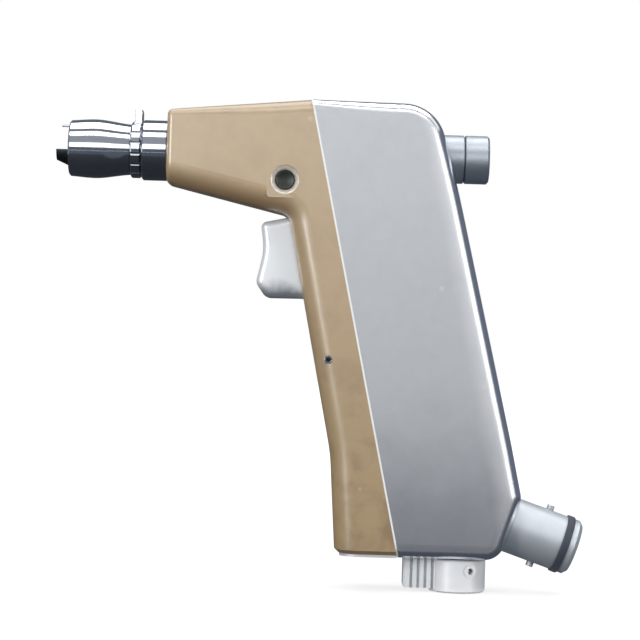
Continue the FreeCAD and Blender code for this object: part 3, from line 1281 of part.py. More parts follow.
def build():
    """Every node's name with its shape, or with the list of its separate solids."""
    nodes = {
        "front_housing": front_housing(),
        "rear_housing": rear_housing(),
        "housing_gasket": housing_gasket(),
        "grip_screws": grip_screws(),
        "base_plate": base_plate(),
        "base_plate_screws": base_plate_screws(),
        "nose_sleeve": nose_sleeve(),
        "locating_blade": locating_blade(),
        "release_collar": release_collar(),
        "chuck_sleeve": chuck_sleeve(),
        "spindle": spindle(),
        "drive_dog": drive_dog(),
        "locking_balls": locking_balls(),
        "locking_ring": locking_ring(),
        "locking_spring": locking_spring(),
        "gear_case": gear_case(),
        "gear_case_cover": gear_case_cover(),
        "ring_gear": ring_gear(),
        "spindle_seal": spindle_seal(),
        "spindle_bearings": bearing_outer(FRONT_BEARING_X) + bearing_outer(CASE_X - BEARING_WIDTH),
        "spindle_races": [bearing_race(FRONT_BEARING_X), bearing_race(CASE_X - BEARING_WIDTH)],
        "output_carrier": carrier(OUTPUT_CARRIER_X, BEARING_BORE / 2),
        "output_planet_pins": planet_pins(OUTPUT_CARRIER_X + CARRIER_THICKNESS),
        "input_carrier": input_carrier(),
        "input_planet_pins": planet_pins(INPUT_CARRIER_X + CARRIER_THICKNESS),
        "rotor_shaft": rotor_shaft(),
        "rotor": rotor(),
        "rotor_vanes": vane_blocks(0),
        "rotor_races": [bearing_race(MOTOR_X), bearing_race(MOTOR_END - BEARING_WIDTH)],
        "motor_cylinder": motor_cylinder(),
        "motor_front_plate": motor_plate(MOTOR_X, ROTOR_X - AIR),
        "motor_rear_plate": motor_plate(MOTOR_END, ROTOR_X + ROTOR_LENGTH + AIR),
        "motor_bearings": bearing_outer(MOTOR_X) + bearing_outer(MOTOR_END - BEARING_WIDTH),
        "cannula_tube": cannula_tube(),
        "cannula_boss": cannula_boss(),
        "cannula_cap": cannula_cap(),
        "cap_seal": cap_seal(),
        "trigger": trigger(),
        "valve_stem": valve_stem(),
        "trigger_spring": trigger_spring(),
        "valve_body": valve_body(),
        "safety_button": safety_button(),
        "button_detent": button_detent(),
        "base_lever": base_lever(),
        "lever_screw": lever_screw(),
        "selector_shaft": selector_shaft(),
        "inlet_tube": inlet_tube(),
        "exhaust_silencer": exhaust_silencer(),
        "hose_spigot": hose_spigot(),
        "bayonet_pins": bayonet_pins(),
        "spigot_oring": spigot_oring(),
    }
    stages = {"output": OUTPUT_CARRIER_X, "input": INPUT_CARRIER_X}
    for stage, x in stages.items():
        for k, gear in enumerate(planets(x + CARRIER_THICKNESS + CARRIER_GAP)):
            nodes[f"{stage}_planet_{k + 1}"] = gear
    return nodes


if __name__ == "__main__":
    os.makedirs("parts", exist_ok=True)
    for name, shape in build().items():
        whole = Part.makeCompound(shape) if isinstance(shape, list) else shape
        whole.exportStep(f"parts/{name}.step")
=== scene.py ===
"""Surgical power drill: finishes, small fittings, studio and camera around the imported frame.

Metres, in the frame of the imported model: +X runs from the nose to the rear along the spindle and +Z is up.
"""
import logging
import math
from dataclasses import dataclass
from enum import Enum
from typing import Callable, Iterable, Sequence, Union

import bmesh
import bpy
from mathutils import Matrix, Vector


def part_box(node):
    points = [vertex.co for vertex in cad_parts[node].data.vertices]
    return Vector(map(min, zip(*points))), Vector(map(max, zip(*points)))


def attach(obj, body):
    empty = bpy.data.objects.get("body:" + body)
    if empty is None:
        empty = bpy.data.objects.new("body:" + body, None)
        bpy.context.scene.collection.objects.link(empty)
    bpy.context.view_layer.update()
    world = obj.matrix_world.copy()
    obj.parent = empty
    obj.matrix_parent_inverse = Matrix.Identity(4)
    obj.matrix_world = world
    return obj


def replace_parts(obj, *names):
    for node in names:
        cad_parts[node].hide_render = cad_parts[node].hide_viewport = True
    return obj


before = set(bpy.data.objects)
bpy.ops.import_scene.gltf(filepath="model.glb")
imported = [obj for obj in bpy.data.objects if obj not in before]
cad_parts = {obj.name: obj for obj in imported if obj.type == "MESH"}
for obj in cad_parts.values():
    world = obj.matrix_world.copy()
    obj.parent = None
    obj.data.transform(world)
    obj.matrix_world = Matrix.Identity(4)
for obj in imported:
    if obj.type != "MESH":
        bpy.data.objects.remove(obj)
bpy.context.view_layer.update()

log = logging.getLogger("drill")

MM = 0.001
LEAN = math.radians(12.25)
ACROSS_SPLIT = (math.cos(LEAN), 0.0, math.sin(LEAN))
Colour = tuple[float, float, float]
Point = tuple[float, float, float]
Socket = bpy.types.NodeSocket
Value = Union[Socket, float, Sequence[float]]


def colour4(tint: Colour) -> tuple[float, float, float, float]:
    """A tint with full opacity."""
    return (*tint, 1.0)


class Graph:
    """A hand on a shader node tree that adds nodes, fills their sockets and links them."""

    def __init__(self, tree: bpy.types.NodeTree) -> None:
        """Takes the tree to work in."""
        self.tree = tree

    def node(self, kind: str, inputs: dict[Union[str, int], Value] | None = None,
             **settings: object) -> bpy.types.Node:
        """Adds a node.

        Args:
            kind: Blender's name for the node's type.
            inputs: socket name or number, with the value or the output that feeds it.
            settings: the node's own properties.

        Returns:
            The new node.
        """
        made = self.tree.nodes.new(kind)
        for name, value in settings.items():
            setattr(made, name, value)
        for name, value in (inputs or {}).items():
            self.feed(made.inputs[name], value)
        return made

    def feed(self, target: Socket, value: Value) -> None:
        """Links an output to a socket, or sets the socket's own value."""
        if isinstance(value, bpy.types.NodeSocket):
            self.tree.links.new(value, target)
        else:
            target.default_value = value

    def math(self, operation: str, first: Value, second: Value = 0.0, third: Value = 0.0,
             clamp: bool = False) -> Socket:
        """The result of one arithmetic step."""
        made = self.node("ShaderNodeMath", {0: first, 1: second, 2: third}, operation=operation, use_clamp=clamp)
        return made.outputs[0]

    def vector(self, operation: str, first: Value, second: Value = (0.0, 0.0, 0.0)) -> bpy.types.Node:
        """A vector step, whose outputs are Vector and Value."""
        return self.node("ShaderNodeVectorMath", {0: first, 1: second}, operation=operation)

    def span(self, value: Value, low: Value, high: Value, to_low: Value = 0.0, to_high: Value = 1.0,
             smooth: bool = False) -> Socket:
        """A value moved from one span to another, held at both ends."""
        kind = "SMOOTHSTEP" if smooth else "LINEAR"
        inputs = {"Value": value, "From Min": low, "From Max": high, "To Min": to_low, "To Max": to_high}
        return self.node("ShaderNodeMapRange", inputs, interpolation_type=kind).outputs["Result"]

    def blend(self, share: Value, first: Value, second: Value, mode: str = "MIX") -> Socket:
        """Two colours mixed by a share."""
        made = self.node("ShaderNodeMix", {"Factor": share}, data_type="RGBA", blend_type=mode)
        self.feed(made.inputs[6], first)
        self.feed(made.inputs[7], second)
        return made.outputs[2]

    def noise(self, place: Value, scale: Value, detail: float = 2.0, roughness: float = 0.5) -> Socket:
        """Soft noise, from 0 to 1."""
        inputs = {"Vector": place, "Scale": scale, "Detail": detail, "Roughness": roughness}
        return self.node("ShaderNodeTexNoise", inputs).outputs["Fac"]


@dataclass(frozen=True)
class Plug:
    """A named socket of an effect, with the value that it starts from."""

    name: str
    start: Union[float, tuple[float, ...]]

    @property
    def kind(self) -> str:
        """Blender's name for the socket's type."""
        if isinstance(self.start, float):
            return "NodeSocketFloat"
        return "NodeSocketVector" if len(self.start) == 3 else "NodeSocketColor"


@dataclass(frozen=True)
class Effect:
    """A shader node group that several finishes share, built once.

    Args:
        name: the group's name.
        takes: its input sockets.
        gives: its output sockets.
        wire: fills the group, from its graph and its inputs, and returns its outputs by name.
    """

    name: str
    takes: tuple[Plug, ...]
    gives: tuple[Plug, ...]
    wire: Callable[[Graph, dict[str, Socket]], dict[str, Socket]]

    def tree(self) -> bpy.types.NodeTree:
        """The node group, made at its first use."""
        if self.name in bpy.data.node_groups:
            return bpy.data.node_groups[self.name]
        tree = bpy.data.node_groups.new(self.name, "ShaderNodeTree")
        for plugs, way in ((self.takes, "INPUT"), (self.gives, "OUTPUT")):
            for plug in plugs:
                made = tree.interface.new_socket(plug.name, in_out=way, socket_type=plug.kind)
                made.default_value = plug.start
        graph = Graph(tree)
        entry = graph.node("NodeGroupInput")
        results = self.wire(graph, {plug.name: entry.outputs[plug.name] for plug in self.takes})
        graph.node("NodeGroupOutput", results)
        return tree

    def place(self, graph: Graph, **values: Value) -> dict[str, Socket]:
        """Puts the effect in a material.

        Args:
            graph: the material's graph.
            values: the inputs, by socket name in lower case.

        Returns:
            The outputs by name.
        """
        made = graph.node("ShaderNodeGroup", node_tree=self.tree())
        for name, value in values.items():
            graph.feed(made.inputs[name.replace("_", " ").capitalize()], value)
        return {plug.name: made.outputs[plug.name] for plug in self.gives}


PLACE = Plug("Place", (0.0, 0.0, 0.0))
MASK = Plug("Mask", 0.0)
HEIGHT = Plug("Height", 0.0)


def wire_grain(graph: Graph, takes: dict[str, Socket]) -> dict[str, Socket]:
    """Fine grain, drawn out along an axis where Stretch is under 1 on it."""
    place = graph.vector("MULTIPLY", takes["Place"], takes["Stretch"]).outputs["Vector"]
    scale = graph.math("DIVIDE", 1.0, takes["Size"])
    coarse = graph.noise(place, scale, 2.0, 0.6)
    fine = graph.noise(place, graph.math("MULTIPLY", scale, 3.7), 1.0)
    return {"Height": graph.math("MULTIPLY_ADD", coarse, 0.65, graph.math("MULTIPLY", fine, 0.35))}


def wire_clouds(graph: Graph, takes: dict[str, Socket]) -> dict[str, Socket]:
    """Soft uneven patches."""
    value = graph.noise(takes["Place"], graph.math("DIVIDE", 1.0, takes["Size"]), 4.0, 0.55)
    reach = graph.math("MULTIPLY", takes["Softness"], 0.5)
    low = graph.math("SUBTRACT", takes["Level"], reach)
    high = graph.math("ADD", takes["Level"], reach)
    return {"Mask": graph.span(value, low, high, smooth=True)}


def wire_scratches(graph: Graph, takes: dict[str, Socket]) -> dict[str, Socket]:
    """Thin long scratches in two directions on the drill's sides, gathered in patches."""
    scale = graph.math("DIVIDE", 1.0, takes["Length"])
    found = None
    for turn, offset in ((0.55, 0.0), (-0.95, 3.1)):
        turned = graph.node("ShaderNodeVectorRotate", {"Vector": takes["Place"], "Angle": turn},
                            rotation_type="Y_AXIS")
        drawn = graph.vector("MULTIPLY", turned.outputs[0], (1.0, 9.0, 22.0)).outputs["Vector"]
        moved = graph.vector("ADD", drawn, (offset, offset, offset)).outputs["Vector"]
        line = graph.math("ABSOLUTE", graph.math("SUBTRACT", graph.noise(moved, scale, 1.0), 0.5))
        thin = graph.span(line, 0.0, takes["Width"], 1.0, 0.0)
        found = thin if found is None else graph.math("MAXIMUM", found, thin)
    patch = graph.noise(takes["Place"], graph.math("MULTIPLY", scale, 0.8), 3.0)
    share = graph.span(patch, graph.math("SUBTRACT", 1.0, takes["Amount"]), 1.0, smooth=True)
    return {"Mask": graph.math("MULTIPLY", found, share, clamp=True)}


def wire_specks(graph: Graph, takes: dict[str, Socket]) -> dict[str, Socket]:
    """Small round nicks, one to a cell and only in some cells."""
    scale = graph.math("DIVIDE", 1.0, takes["Spacing"])
    cells = graph.node("ShaderNodeTexVoronoi", {"Vector": takes["Place"], "Scale": scale, "Randomness": 1.0})
    pick = graph.node("ShaderNodeSeparateColor", {0: cells.outputs["Color"]})
    chosen = graph.math("LESS_THAN", pick.outputs[0], takes["Amount"])
    radius = graph.math("MULTIPLY_ADD", pick.outputs[1], 0.16, 0.05)
    dot = graph.span(cells.outputs["Distance"], graph.math("MULTIPLY", radius, 0.6), radius, 1.0, 0.0)
    return {"Mask": graph.math("MULTIPLY", dot, chosen)}


def wire_turning(graph: Graph, takes: dict[str, Socket]) -> dict[str, Socket]:
    """Tool marks left round an axis by turning: uneven rings, a pitch apart."""
    along = graph.vector("DOT_PRODUCT", takes["Place"], takes["Axis"]).outputs["Value"]
    station = graph.math("DIVIDE", along, takes["Pitch"])
    rings = graph.node("ShaderNodeTexNoise", {"W": station, "Scale": 1.0, "Detail": 3.0, "Roughness": 0.7},
                       noise_dimensions="1D").outputs["Fac"]
    broken = graph.noise(takes["Place"], 900.0, 2.0)
    return {"Height": graph.math("MULTIPLY_ADD", broken, 0.25, graph.math("MULTIPLY", rings, 0.75))}


def wire_band(graph: Graph, takes: dict[str, Socket]) -> dict[str, Socket]:
    """How far a point lies from Start to End along a direction, with an uneven edge."""
    along = graph.vector("DOT_PRODUCT", takes["Place"], takes["Direction"]).outputs["Value"]
    uneven = graph.math("SUBTRACT", graph.noise(takes["Place"], 55.0, 4.0), 0.5)
    waver = graph.math("MULTIPLY", uneven, takes["Waver"])
    return {"Mask": graph.span(graph.math("ADD", along, waver), takes["Start"], takes["End"], smooth=True)}


def wire_edges(graph: Graph, takes: dict[str, Socket]) -> dict[str, Socket]:
    """Where the surface turns within a radius, as edges do, broken up unevenly."""
    rounded = graph.node("ShaderNodeBevel", {"Radius": takes["Radius"]}, samples=4).outputs[0]
    true = graph.node("ShaderNodeNewGeometry").outputs["Normal"]
    match = graph.vector("DOT_PRODUCT", rounded, true).outputs["Value"]
    turn = graph.math("SUBTRACT", 1.0, match)
    broken = graph.span(graph.noise(takes["Place"], 700.0, 3.0, 0.7), 0.3, 0.65, 0.25, 1.0)
    return {"Mask": graph.math("MULTIPLY", graph.math("MULTIPLY", turn, takes["Gain"]), broken, clamp=True)}


def wire_corner_shade(graph: Graph, takes: dict[str, Socket]) -> dict[str, Socket]:
    """Painted shade: where the surface lies in corners and grooves, found by ambient occlusion."""
    hidden = graph.node("ShaderNodeAmbientOcclusion", {"Distance": takes["Radius"]}, samples=6).outputs["AO"]
    broken = graph.span(graph.noise(takes["Place"], 400.0, 3.0), 0.3, 0.7, 0.7, 1.0)
    depth = graph.span(hidden, 0.35, 0.95, 1.0, 0.0)
    return {"Mask": graph.math("MULTIPLY", graph.math("MULTIPLY", depth, takes["Gain"]), broken, clamp=True)}


def wire_rounding(graph: Graph, takes: dict[str, Socket]) -> dict[str, Socket]:
    """The edges and ends of a flat-sided body: where it turns away from its two sides."""
    normal = graph.node("ShaderNodeNewGeometry").outputs["Normal"]
    facing = graph.math("ABSOLUTE", graph.vector("DOT_PRODUCT", normal, takes["Side"]).outputs["Value"])
    return {"Mask": graph.span(facing, takes["Start"], takes["End"], smooth=True)}


def wire_facing(graph: Graph, takes: dict[str, Socket]) -> dict[str, Socket]:
    """Where the surface looks a given way, such as down."""
    normal = graph.node("ShaderNodeNewGeometry").outputs["Normal"]
    facing = graph.vector("DOT_PRODUCT", normal, takes["Way"]).outputs["Value"]
    return {"Mask": graph.span(facing, takes["Start"], takes["End"], smooth=True)}


GRAIN = Effect("Fine grain", (PLACE, Plug("Stretch", (1.0, 1.0, 1.0)), Plug("Size", 0.4 * MM)), (HEIGHT,),
               wire_grain)
CLOUDS = Effect("Soft patches", (PLACE, Plug("Size", 20 * MM), Plug("Level", 0.5), Plug("Softness", 0.3)), (MASK,),
                wire_clouds)
SCRATCHES = Effect("Scratches", (PLACE, Plug("Length", 6 * MM), Plug("Width", 0.02), Plug("Amount", 0.5)), (MASK,),
                   wire_scratches)
SPECKS = Effect("Nicks", (PLACE, Plug("Spacing", 4 * MM), Plug("Amount", 0.2)), (MASK,), wire_specks)
TURNING = Effect("Turning marks", (PLACE, Plug("Axis", (1.0, 0.0, 0.0)), Plug("Pitch", 0.25 * MM)), (HEIGHT,),
                 wire_turning)
BAND = Effect("Band", (PLACE, Plug("Direction", (0.0, 0.0, 1.0)), Plug("Start", 0.0), Plug("End", 1.0),
                       Plug("Waver", 0.01)), (MASK,), wire_band)
# Painted shade in corners and grooves, from ambient occlusion.
CORNER_SHADE = Effect("Grime in corners", (PLACE, Plug("Radius", 1.2 * MM), Plug("Gain", 1.0)), (MASK,), wire_corner_shade)
ROUNDING = Effect("Rounded edges", (Plug("Side", (0.0, 1.0, 0.0)), Plug("Start", 1.0), Plug("End", 0.80)), (MASK,),
                  wire_rounding)
FACING = Effect("Facing", (Plug("Way", (0.0, 0.0, -1.0)), Plug("Start", 0.1), Plug("End", 0.9)), (MASK,),
                wire_facing)
EDGES = Effect("Edge wear", (PLACE, Plug("Radius", 0.6 * MM), Plug("Gain", 6.0)), (MASK,), wire_edges)


class Marks(Enum):
    """How a metal surface was last worked."""

    PLAIN = "plain"
    TURNED = "turned"
    GROUND = "ground"


class Surface:
    """A material under way: its graph, its shader and the place of each point in the frame."""

    def __init__(self, name: str) -> None:
        """Starts an empty material with a Principled shader under its output."""
        self.material = bpy.data.materials.new(name)
        self.material.use_nodes = True
        tree = self.material.node_tree
        tree.nodes.clear()
        self.graph = Graph(tree)
        self.shader = self.graph.node("ShaderNodeBsdfPrincipled")
        self.graph.node("ShaderNodeOutputMaterial", {"Surface": self.shader.outputs[0]})
        self.place = self.graph.node("ShaderNodeTexCoord").outputs["Object"]

    def set(self, **inputs: Value) -> None:
        """Feeds the shader's sockets, named in lower case with underscores."""
        for name, value in inputs.items():
            label = name.replace("_", " ").title().replace("Ior", "IOR")
            self.graph.feed(self.shader.inputs[label], value)

    def bump(self, *layers: tuple[Value, float]) -> None:
        """Raises the surface by layers.

        Args:
            layers: a height from 0 to 1, and how far it reaches in metres.
        """
        normal = None
        for height, reach in layers:
            inputs: dict[Union[str, int], Value] = {"Height": height, "Distance": reach, "Strength": 1.0}
            if normal is not None:
                inputs["Normal"] = normal
            normal = self.graph.node("ShaderNodeBump", inputs).outputs["Normal"]
        self.set(normal=normal)


@dataclass(frozen=True)
class Casting:
    """Bead-blasted and anodised light-alloy casting, rubbed at its edges and stained, more so low down, with
    painted shade towards the bottom, in corners and on what faces down, and painted highlights on its rounded edges
    and towards its rear edge.

    Args:
        name: the material's name.
        tint: colour high on the body.
        low_shade_tint: colour near the base, a painted shade.
        stain_and_shade_tint: colour of the stains, and of the painted shade in corners and on what faces down.
        worn: colour of rubbed edges, also used for the painted highlights on the rounded edges and towards the rear
            edge.
        metallic: share of metal in the finish.
        roughness: how matt the finish is.
        fall: heights between which the tint turns into the low tint, as painted shade.
        wear: how much the edges are rubbed.
        stains: how strong the stains are.
        scratches: how many scratches it has.
        seal: share of clear sealed layer over the tint.
        edge_gloss_and_highlight: how far its rounded edges are polished, and lightened to the worn colour as a
            painted highlight.
        down_shade: how much painted shade darkens what faces down.
        rear_highlight: stations across the split between which a painted highlight brightens the side towards the
            rear edge.
    """

    name: str
    tint: Colour
    low_shade_tint: Colour
    stain_and_shade_tint: Colour
    worn: Colour
    metallic: float
    roughness: float
    fall: tuple[float, float]
    wear: float
    stains: float
    scratches: float
    seal: float = 0.0
    edge_gloss_and_highlight: float = 0.0
    down_shade: float = 0.0
    rear_highlight: tuple[float, float] = (1.0, 2.0)

    def build(self) -> bpy.types.Material:
        """Makes the material."""
        s = Surface(self.name)
        g = s.graph
        # Painted shade: the tint darkens towards the bottom into the low tint; the stains also gather more low
        # down.
        low = BAND.place(g, place=s.place, start=self.fall[0], end=self.fall[1], waver=0.02)["Mask"]
        base = g.blend(low, colour4(self.tint), colour4(self.low_shade_tint))
        patches = CLOUDS.place(g, place=s.place, size=14 * MM, level=0.56, softness=0.22)["Mask"]
        soiled = g.math("MULTIPLY", patches, g.math("MULTIPLY_ADD", low, self.stains, self.stains * 0.18))
        base = g.blend(soiled, base, colour4(self.stain_and_shade_tint))
        cloud = CLOUDS.place(g, place=s.place, size=4 * MM, level=0.5, softness=0.6)["Mask"]
        base = g.blend(0.07, base, g.blend(cloud, (0.2, 0.2, 0.2, 1.0), (0.8, 0.8, 0.8, 1.0)), "SOFT_LIGHT")
        scratch = SCRATCHES.place(g, place=s.place, length=9 * MM, width=0.012, amount=self.scratches)["Mask"]
        nick = SPECKS.place(g, place=s.place, spacing=6 * MM, amount=0.05)["Mask"]
        rubbed = EDGES.place(g, place=s.place, radius=0.5 * MM, gain=self.wear)["Mask"]
        marked = g.math("MAXIMUM", g.math("MULTIPLY", scratch, 0.5), g.math("MULTIPLY", nick, 0.25))
        worn = g.math("MAXIMUM", rubbed, marked)
        # Painted shade in corners and grooves, from ambient occlusion, in the stain colour.
        corner_shade = CORNER_SHADE.place(g, place=s.place, radius=1.5 * MM, gain=0.55)["Mask"]
        base = g.blend(corner_shade, base, colour4(self.stain_and_shade_tint))
        # Painted shade on what faces down, in the stain colour.
        under = g.math("MULTIPLY", FACING.place(g)["Mask"], self.down_shade)
        base = g.blend(under, base, colour4(self.stain_and_shade_tint))
        # Painted highlight: the side brightens towards the rear edge, in the rubbed-edge colour.
        rear = BAND.place(g, place=s.place, direction=ACROSS_SPLIT, start=self.rear_highlight[0], end=self.rear_highlight[1],
                          waver=0.004)["Mask"]
        base = g.blend(g.math("MULTIPLY", rear, 0.45), base, colour4(self.worn))
        # The rounded edges are polished, with less roughness and more metal, and also lightened to the rubbed-edge
        # colour as a painted highlight.
        bright = g.math("MULTIPLY", ROUNDING.place(g)["Mask"], self.edge_gloss_and_highlight)
        grain = GRAIN.place(g, place=s.place, size=0.35 * MM)["Height"]
        rough = g.math("MULTIPLY_ADD", g.math("SUBTRACT", grain, 0.5), 0.12, self.roughness)
        rough = g.math("MULTIPLY_ADD", worn, -0.12, rough)
        s.set(base_color=g.blend(g.math("MAXIMUM", worn, bright), base, colour4(self.worn)),
              metallic=g.math("MULTIPLY_ADD", bright, 1.0 - self.metallic, self.metallic, clamp=True),
              roughness=g.math("MULTIPLY_ADD", bright, 0.16 - self.roughness, rough, clamp=True),
              coat_weight=self.seal, coat_roughness=0.30, coat_ior=2.1)
        s.bump((grain, 0.02 * MM), (g.math("SUBTRACT", 1.0, marked), 0.03 * MM))
        return s.material


@dataclass(frozen=True)
class Metal:
    """Bare or plated metal with the marks of its making.

    Args:
        name: the material's name.
        tint: the metal's colour.
        roughness: how matt it is.
        marks: how the surface was worked.
        axis: the axis it was turned about, for turned surfaces.
        pitch: distance between turning marks.
        depth: depth of the marks.
        haze: how much the shine varies from place to place.
        scratches: how many scratches it has.
        worn: colour of rubbed edges.
        wear: how much the edges are rubbed.
        corner_shade: how dark its corners and grooves are painted, as shade.
        hollow: how near a wall has to be for that.
        metal: share of metal, under 1 where a milky plating lies on it.
    """

    name: str
    tint: Colour
    roughness: float
    marks: Marks = Marks.PLAIN
    axis: tuple[float, float, float] = (1.0, 0.0, 0.0)
    pitch: float = 0.25 * MM
    depth: float = 0.004 * MM
    haze: float = 0.1
    scratches: float = 0.3
    worn: Colour = (0.75, 0.76, 0.78)
    wear: float = 2.0
    corner_shade: float = 0.7
    hollow: float = 1.2 * MM
    metal: float = 1.0

    def build(self) -> bpy.types.Material:
        """Makes the material."""
        s = Surface(self.name)
        g = s.graph
        haze = CLOUDS.place(g, place=s.place, size=8 * MM, level=0.5, softness=0.5)["Mask"]
        scratch = SCRATCHES.place(g, place=s.place, length=5 * MM, width=0.01, amount=self.scratches)["Mask"]
        rubbed = EDGES.place(g, place=s.place, radius=0.3 * MM, gain=self.wear)["Mask"]
        rough = g.math("MULTIPLY_ADD", haze, self.haze, self.roughness)
        rough = g.math("MULTIPLY_ADD", scratch, 0.12, rough, clamp=True)
        shade = g.blend(g.math("MULTIPLY", haze, 0.06), colour4(self.tint), (0.0, 0.0, 0.0, 1.0))
        # Painted shade: corners and grooves darken towards near black by ambient occlusion.
        corner_shade = CORNER_SHADE.place(g, place=s.place, radius=self.hollow, gain=self.corner_shade)["Mask"]
        shade = g.blend(corner_shade, shade, (0.035, 0.042, 0.052, 1.0))
        s.set(base_color=g.blend(rubbed, shade, colour4(self.worn)), metallic=self.metal, roughness=rough)
        s.bump((self.worked(s), self.depth), (g.math("SUBTRACT", 1.0, scratch), 0.01 * MM))
        return s.material

    def worked(self, s: Surface) -> Socket:
        """The height left by turning, grinding or neither."""
        if self.marks is Marks.TURNED:
            return TURNING.place(s.graph, place=s.place, axis=self.axis, pitch=self.pitch)["Height"]
        stretch = (1.0, 1.0, 0.06) if self.marks is Marks.GROUND else (1.0, 1.0, 1.0)
        return GRAIN.place(s.graph, place=s.place, stretch=stretch, size=0.3 * MM)["Height"]


@dataclass(frozen=True)
class Moulding:
    """Rubber, sheet or resin: a soft piece with flow marks, lint and rubbed edges.

    Args:
        name: the material's name.
        tint: its colour.
        fleck: colour of lint, fibres or filler.
        roughness: how matt it is.
        flecks: how many flecks there are.
        sheen: strength of the soft bloom on rubber.
        stretch: drawing out of the fibres along the axes.
    """

    name: str
    tint: Colour
    fleck: Colour
    roughness: float
    flecks: float = 0.2
    sheen: float = 0.0
    stretch: tuple[float, float, float] = (1.0, 1.0, 1.0)

    def build(self) -> bpy.types.Material:
        """Makes the material."""
        s = Surface(self.name)
        g = s.graph
        fibre = GRAIN.place(g, place=s.place, stretch=self.stretch, size=0.5 * MM)["Height"]
        lint = SPECKS.place(g, place=s.place, spacing=1.6 * MM, amount=self.flecks)["Mask"]
        cloud = CLOUDS.place(g, place=s.place, size=6 * MM, level=0.5, softness=0.5)["Mask"]
        rubbed = EDGES.place(g, place=s.place, radius=0.3 * MM, gain=3.0)["Mask"]
        base = g.blend(g.math("MULTIPLY", fibre, 0.35), colour4(self.tint), colour4(self.fleck))
        base = g.blend(g.math("MULTIPLY", g.math("MAXIMUM", lint, rubbed), 0.5), base, colour4(self.fleck))
        s.set(base_color=base, roughness=g.math("MULTIPLY_ADD", cloud, 0.15, self.roughness, clamp=True),
              sheen_weight=self.sheen)
        s.bump((fibre, 0.02 * MM), (lint, 0.01 * MM))
        return s.material


# In each casting the second colour is a painted shade towards the bottom, and the third is the stains' colour, also
# used for the painted shade in corners and on what faces down.
TAN = Casting("Tan_anodised_casting", (0.400, 0.290, 0.165), (0.365, 0.258, 0.128), (0.20, 0.120, 0.055),
              (0.66, 0.59, 0.49), 0.0, 0.50, (-0.045, -0.165), 4.0, 0.55, 0.34, seal=0.75, down_shade=0.85)
SILVER = Casting("Silver_satin_casting", (0.505, 0.525, 0.555), (0.235, 0.250, 0.280), (0.30, 0.29, 0.31),
                 (0.80, 0.82, 0.85), 0.45, 0.42, (-0.085, -0.168), 4.0, 0.25, 0.34, edge_gloss_and_highlight=1.0,
                 rear_highlight=(138.5 * MM, 147.0 * MM))
COUNTERSINK = Casting("Tan_burnished_countersink", (0.62, 0.52, 0.39), (0.62, 0.52, 0.39), (0.30, 0.22, 0.13),
                      (0.86, 0.84, 0.80), 0.45, 0.30, (-0.045, -0.165), 3.0, 0.2, 0.5)
CHROME = Metal("Chrome_plate", (0.80, 0.83, 0.87), 0.06, Marks.TURNED, depth=0.0008 * MM, haze=0.05, scratches=0.35,
               worn=(0.85, 0.88, 0.92))
POLISHED = Metal("Polished_steel", (0.78, 0.79, 0.81), 0.10, Marks.PLAIN, depth=0.001 * MM, haze=0.06)
SATIN = Metal("Satin_steel", (0.56, 0.57, 0.58), 0.26, Marks.TURNED, depth=0.003 * MM)
DARK = Metal("Dark_steel", (0.085, 0.095, 0.10), 0.34, Marks.GROUND, depth=0.004 * MM, worn=(0.30, 0.31, 0.32),
             wear=1.5)
BLACK = Casting("Black_anodised_alloy", (0.016, 0.022, 0.018), (0.016, 0.020, 0.018), (0.05, 0.045, 0.04),
                (0.22, 0.23, 0.23), 0.2, 0.42, (0.0, -0.1), 2.0, 0.2, 0.25)
PALE = Casting("Pale_polished_alloy", (0.80, 0.83, 0.86), (0.22, 0.24, 0.27), (0.42, 0.43, 0.44),
               (0.92, 0.94, 0.97), 0.30, 0.32, (-0.0515, -0.0585), 2.5, 0.22, 0.30)
GASKET = Moulding("White_gasket_sheet", (0.86, 0.87, 0.88), (0.62, 0.62, 0.60), 0.62, stretch=(1.0, 0.2, 1.0))
RESIN = Moulding("Vane_resin", (0.23, 0.12, 0.055), (0.42, 0.27, 0.14), 0.5, flecks=0.3, stretch=(0.15, 1.0, 1.0))
RUBBER = Moulding("Seal_rubber", (0.022, 0.030, 0.048), (0.09, 0.10, 0.13), 0.48, flecks=0.25, sheen=0.15)
BRONZE = Metal("Porous_bronze", (0.47, 0.29, 0.12), 0.52, Marks.PLAIN, depth=0.05 * MM, haze=0.2, scratches=0.1,
               worn=(0.66, 0.47, 0.25))

LEVER_PLATE = Metal("Lever_nickel_plate", (0.90, 0.92, 0.95), 0.34, Marks.GROUND, depth=0.001 * MM, haze=0.08,
                    scratches=0.3, corner_shade=0.85, hollow=0.8 * MM, metal=0.15)
LEVER_SCREW = Metal("Lever_screw_steel", (0.84, 0.85, 0.87), 0.28, corner_shade=1.0, hollow=1.0 * MM, metal=0.4)
FOOT_STEEL = Metal("Foot_plate_steel", (0.80, 0.82, 0.84), 0.34, Marks.GROUND, depth=0.001 * MM, corner_shade=0.3,
                   metal=0.4)
KNOB_STEEL = Metal("Knob_brushed_steel", (0.44, 0.475, 0.52), 0.40, Marks.TURNED, pitch=0.12 * MM, depth=0.002 * MM,
                   haze=0.06)
SPIGOT_WAY = (0.9466, 0.0, -0.3223)
SPIGOT_STEEL = Metal("Spigot_turned_steel", (0.62, 0.66, 0.70), 0.47, Marks.TURNED, SPIGOT_WAY, 0.15 * MM,
                     0.001 * MM, 0.05, scratches=0.15, metal=0.75)

Finish = Union[Casting, Metal, Moulding]


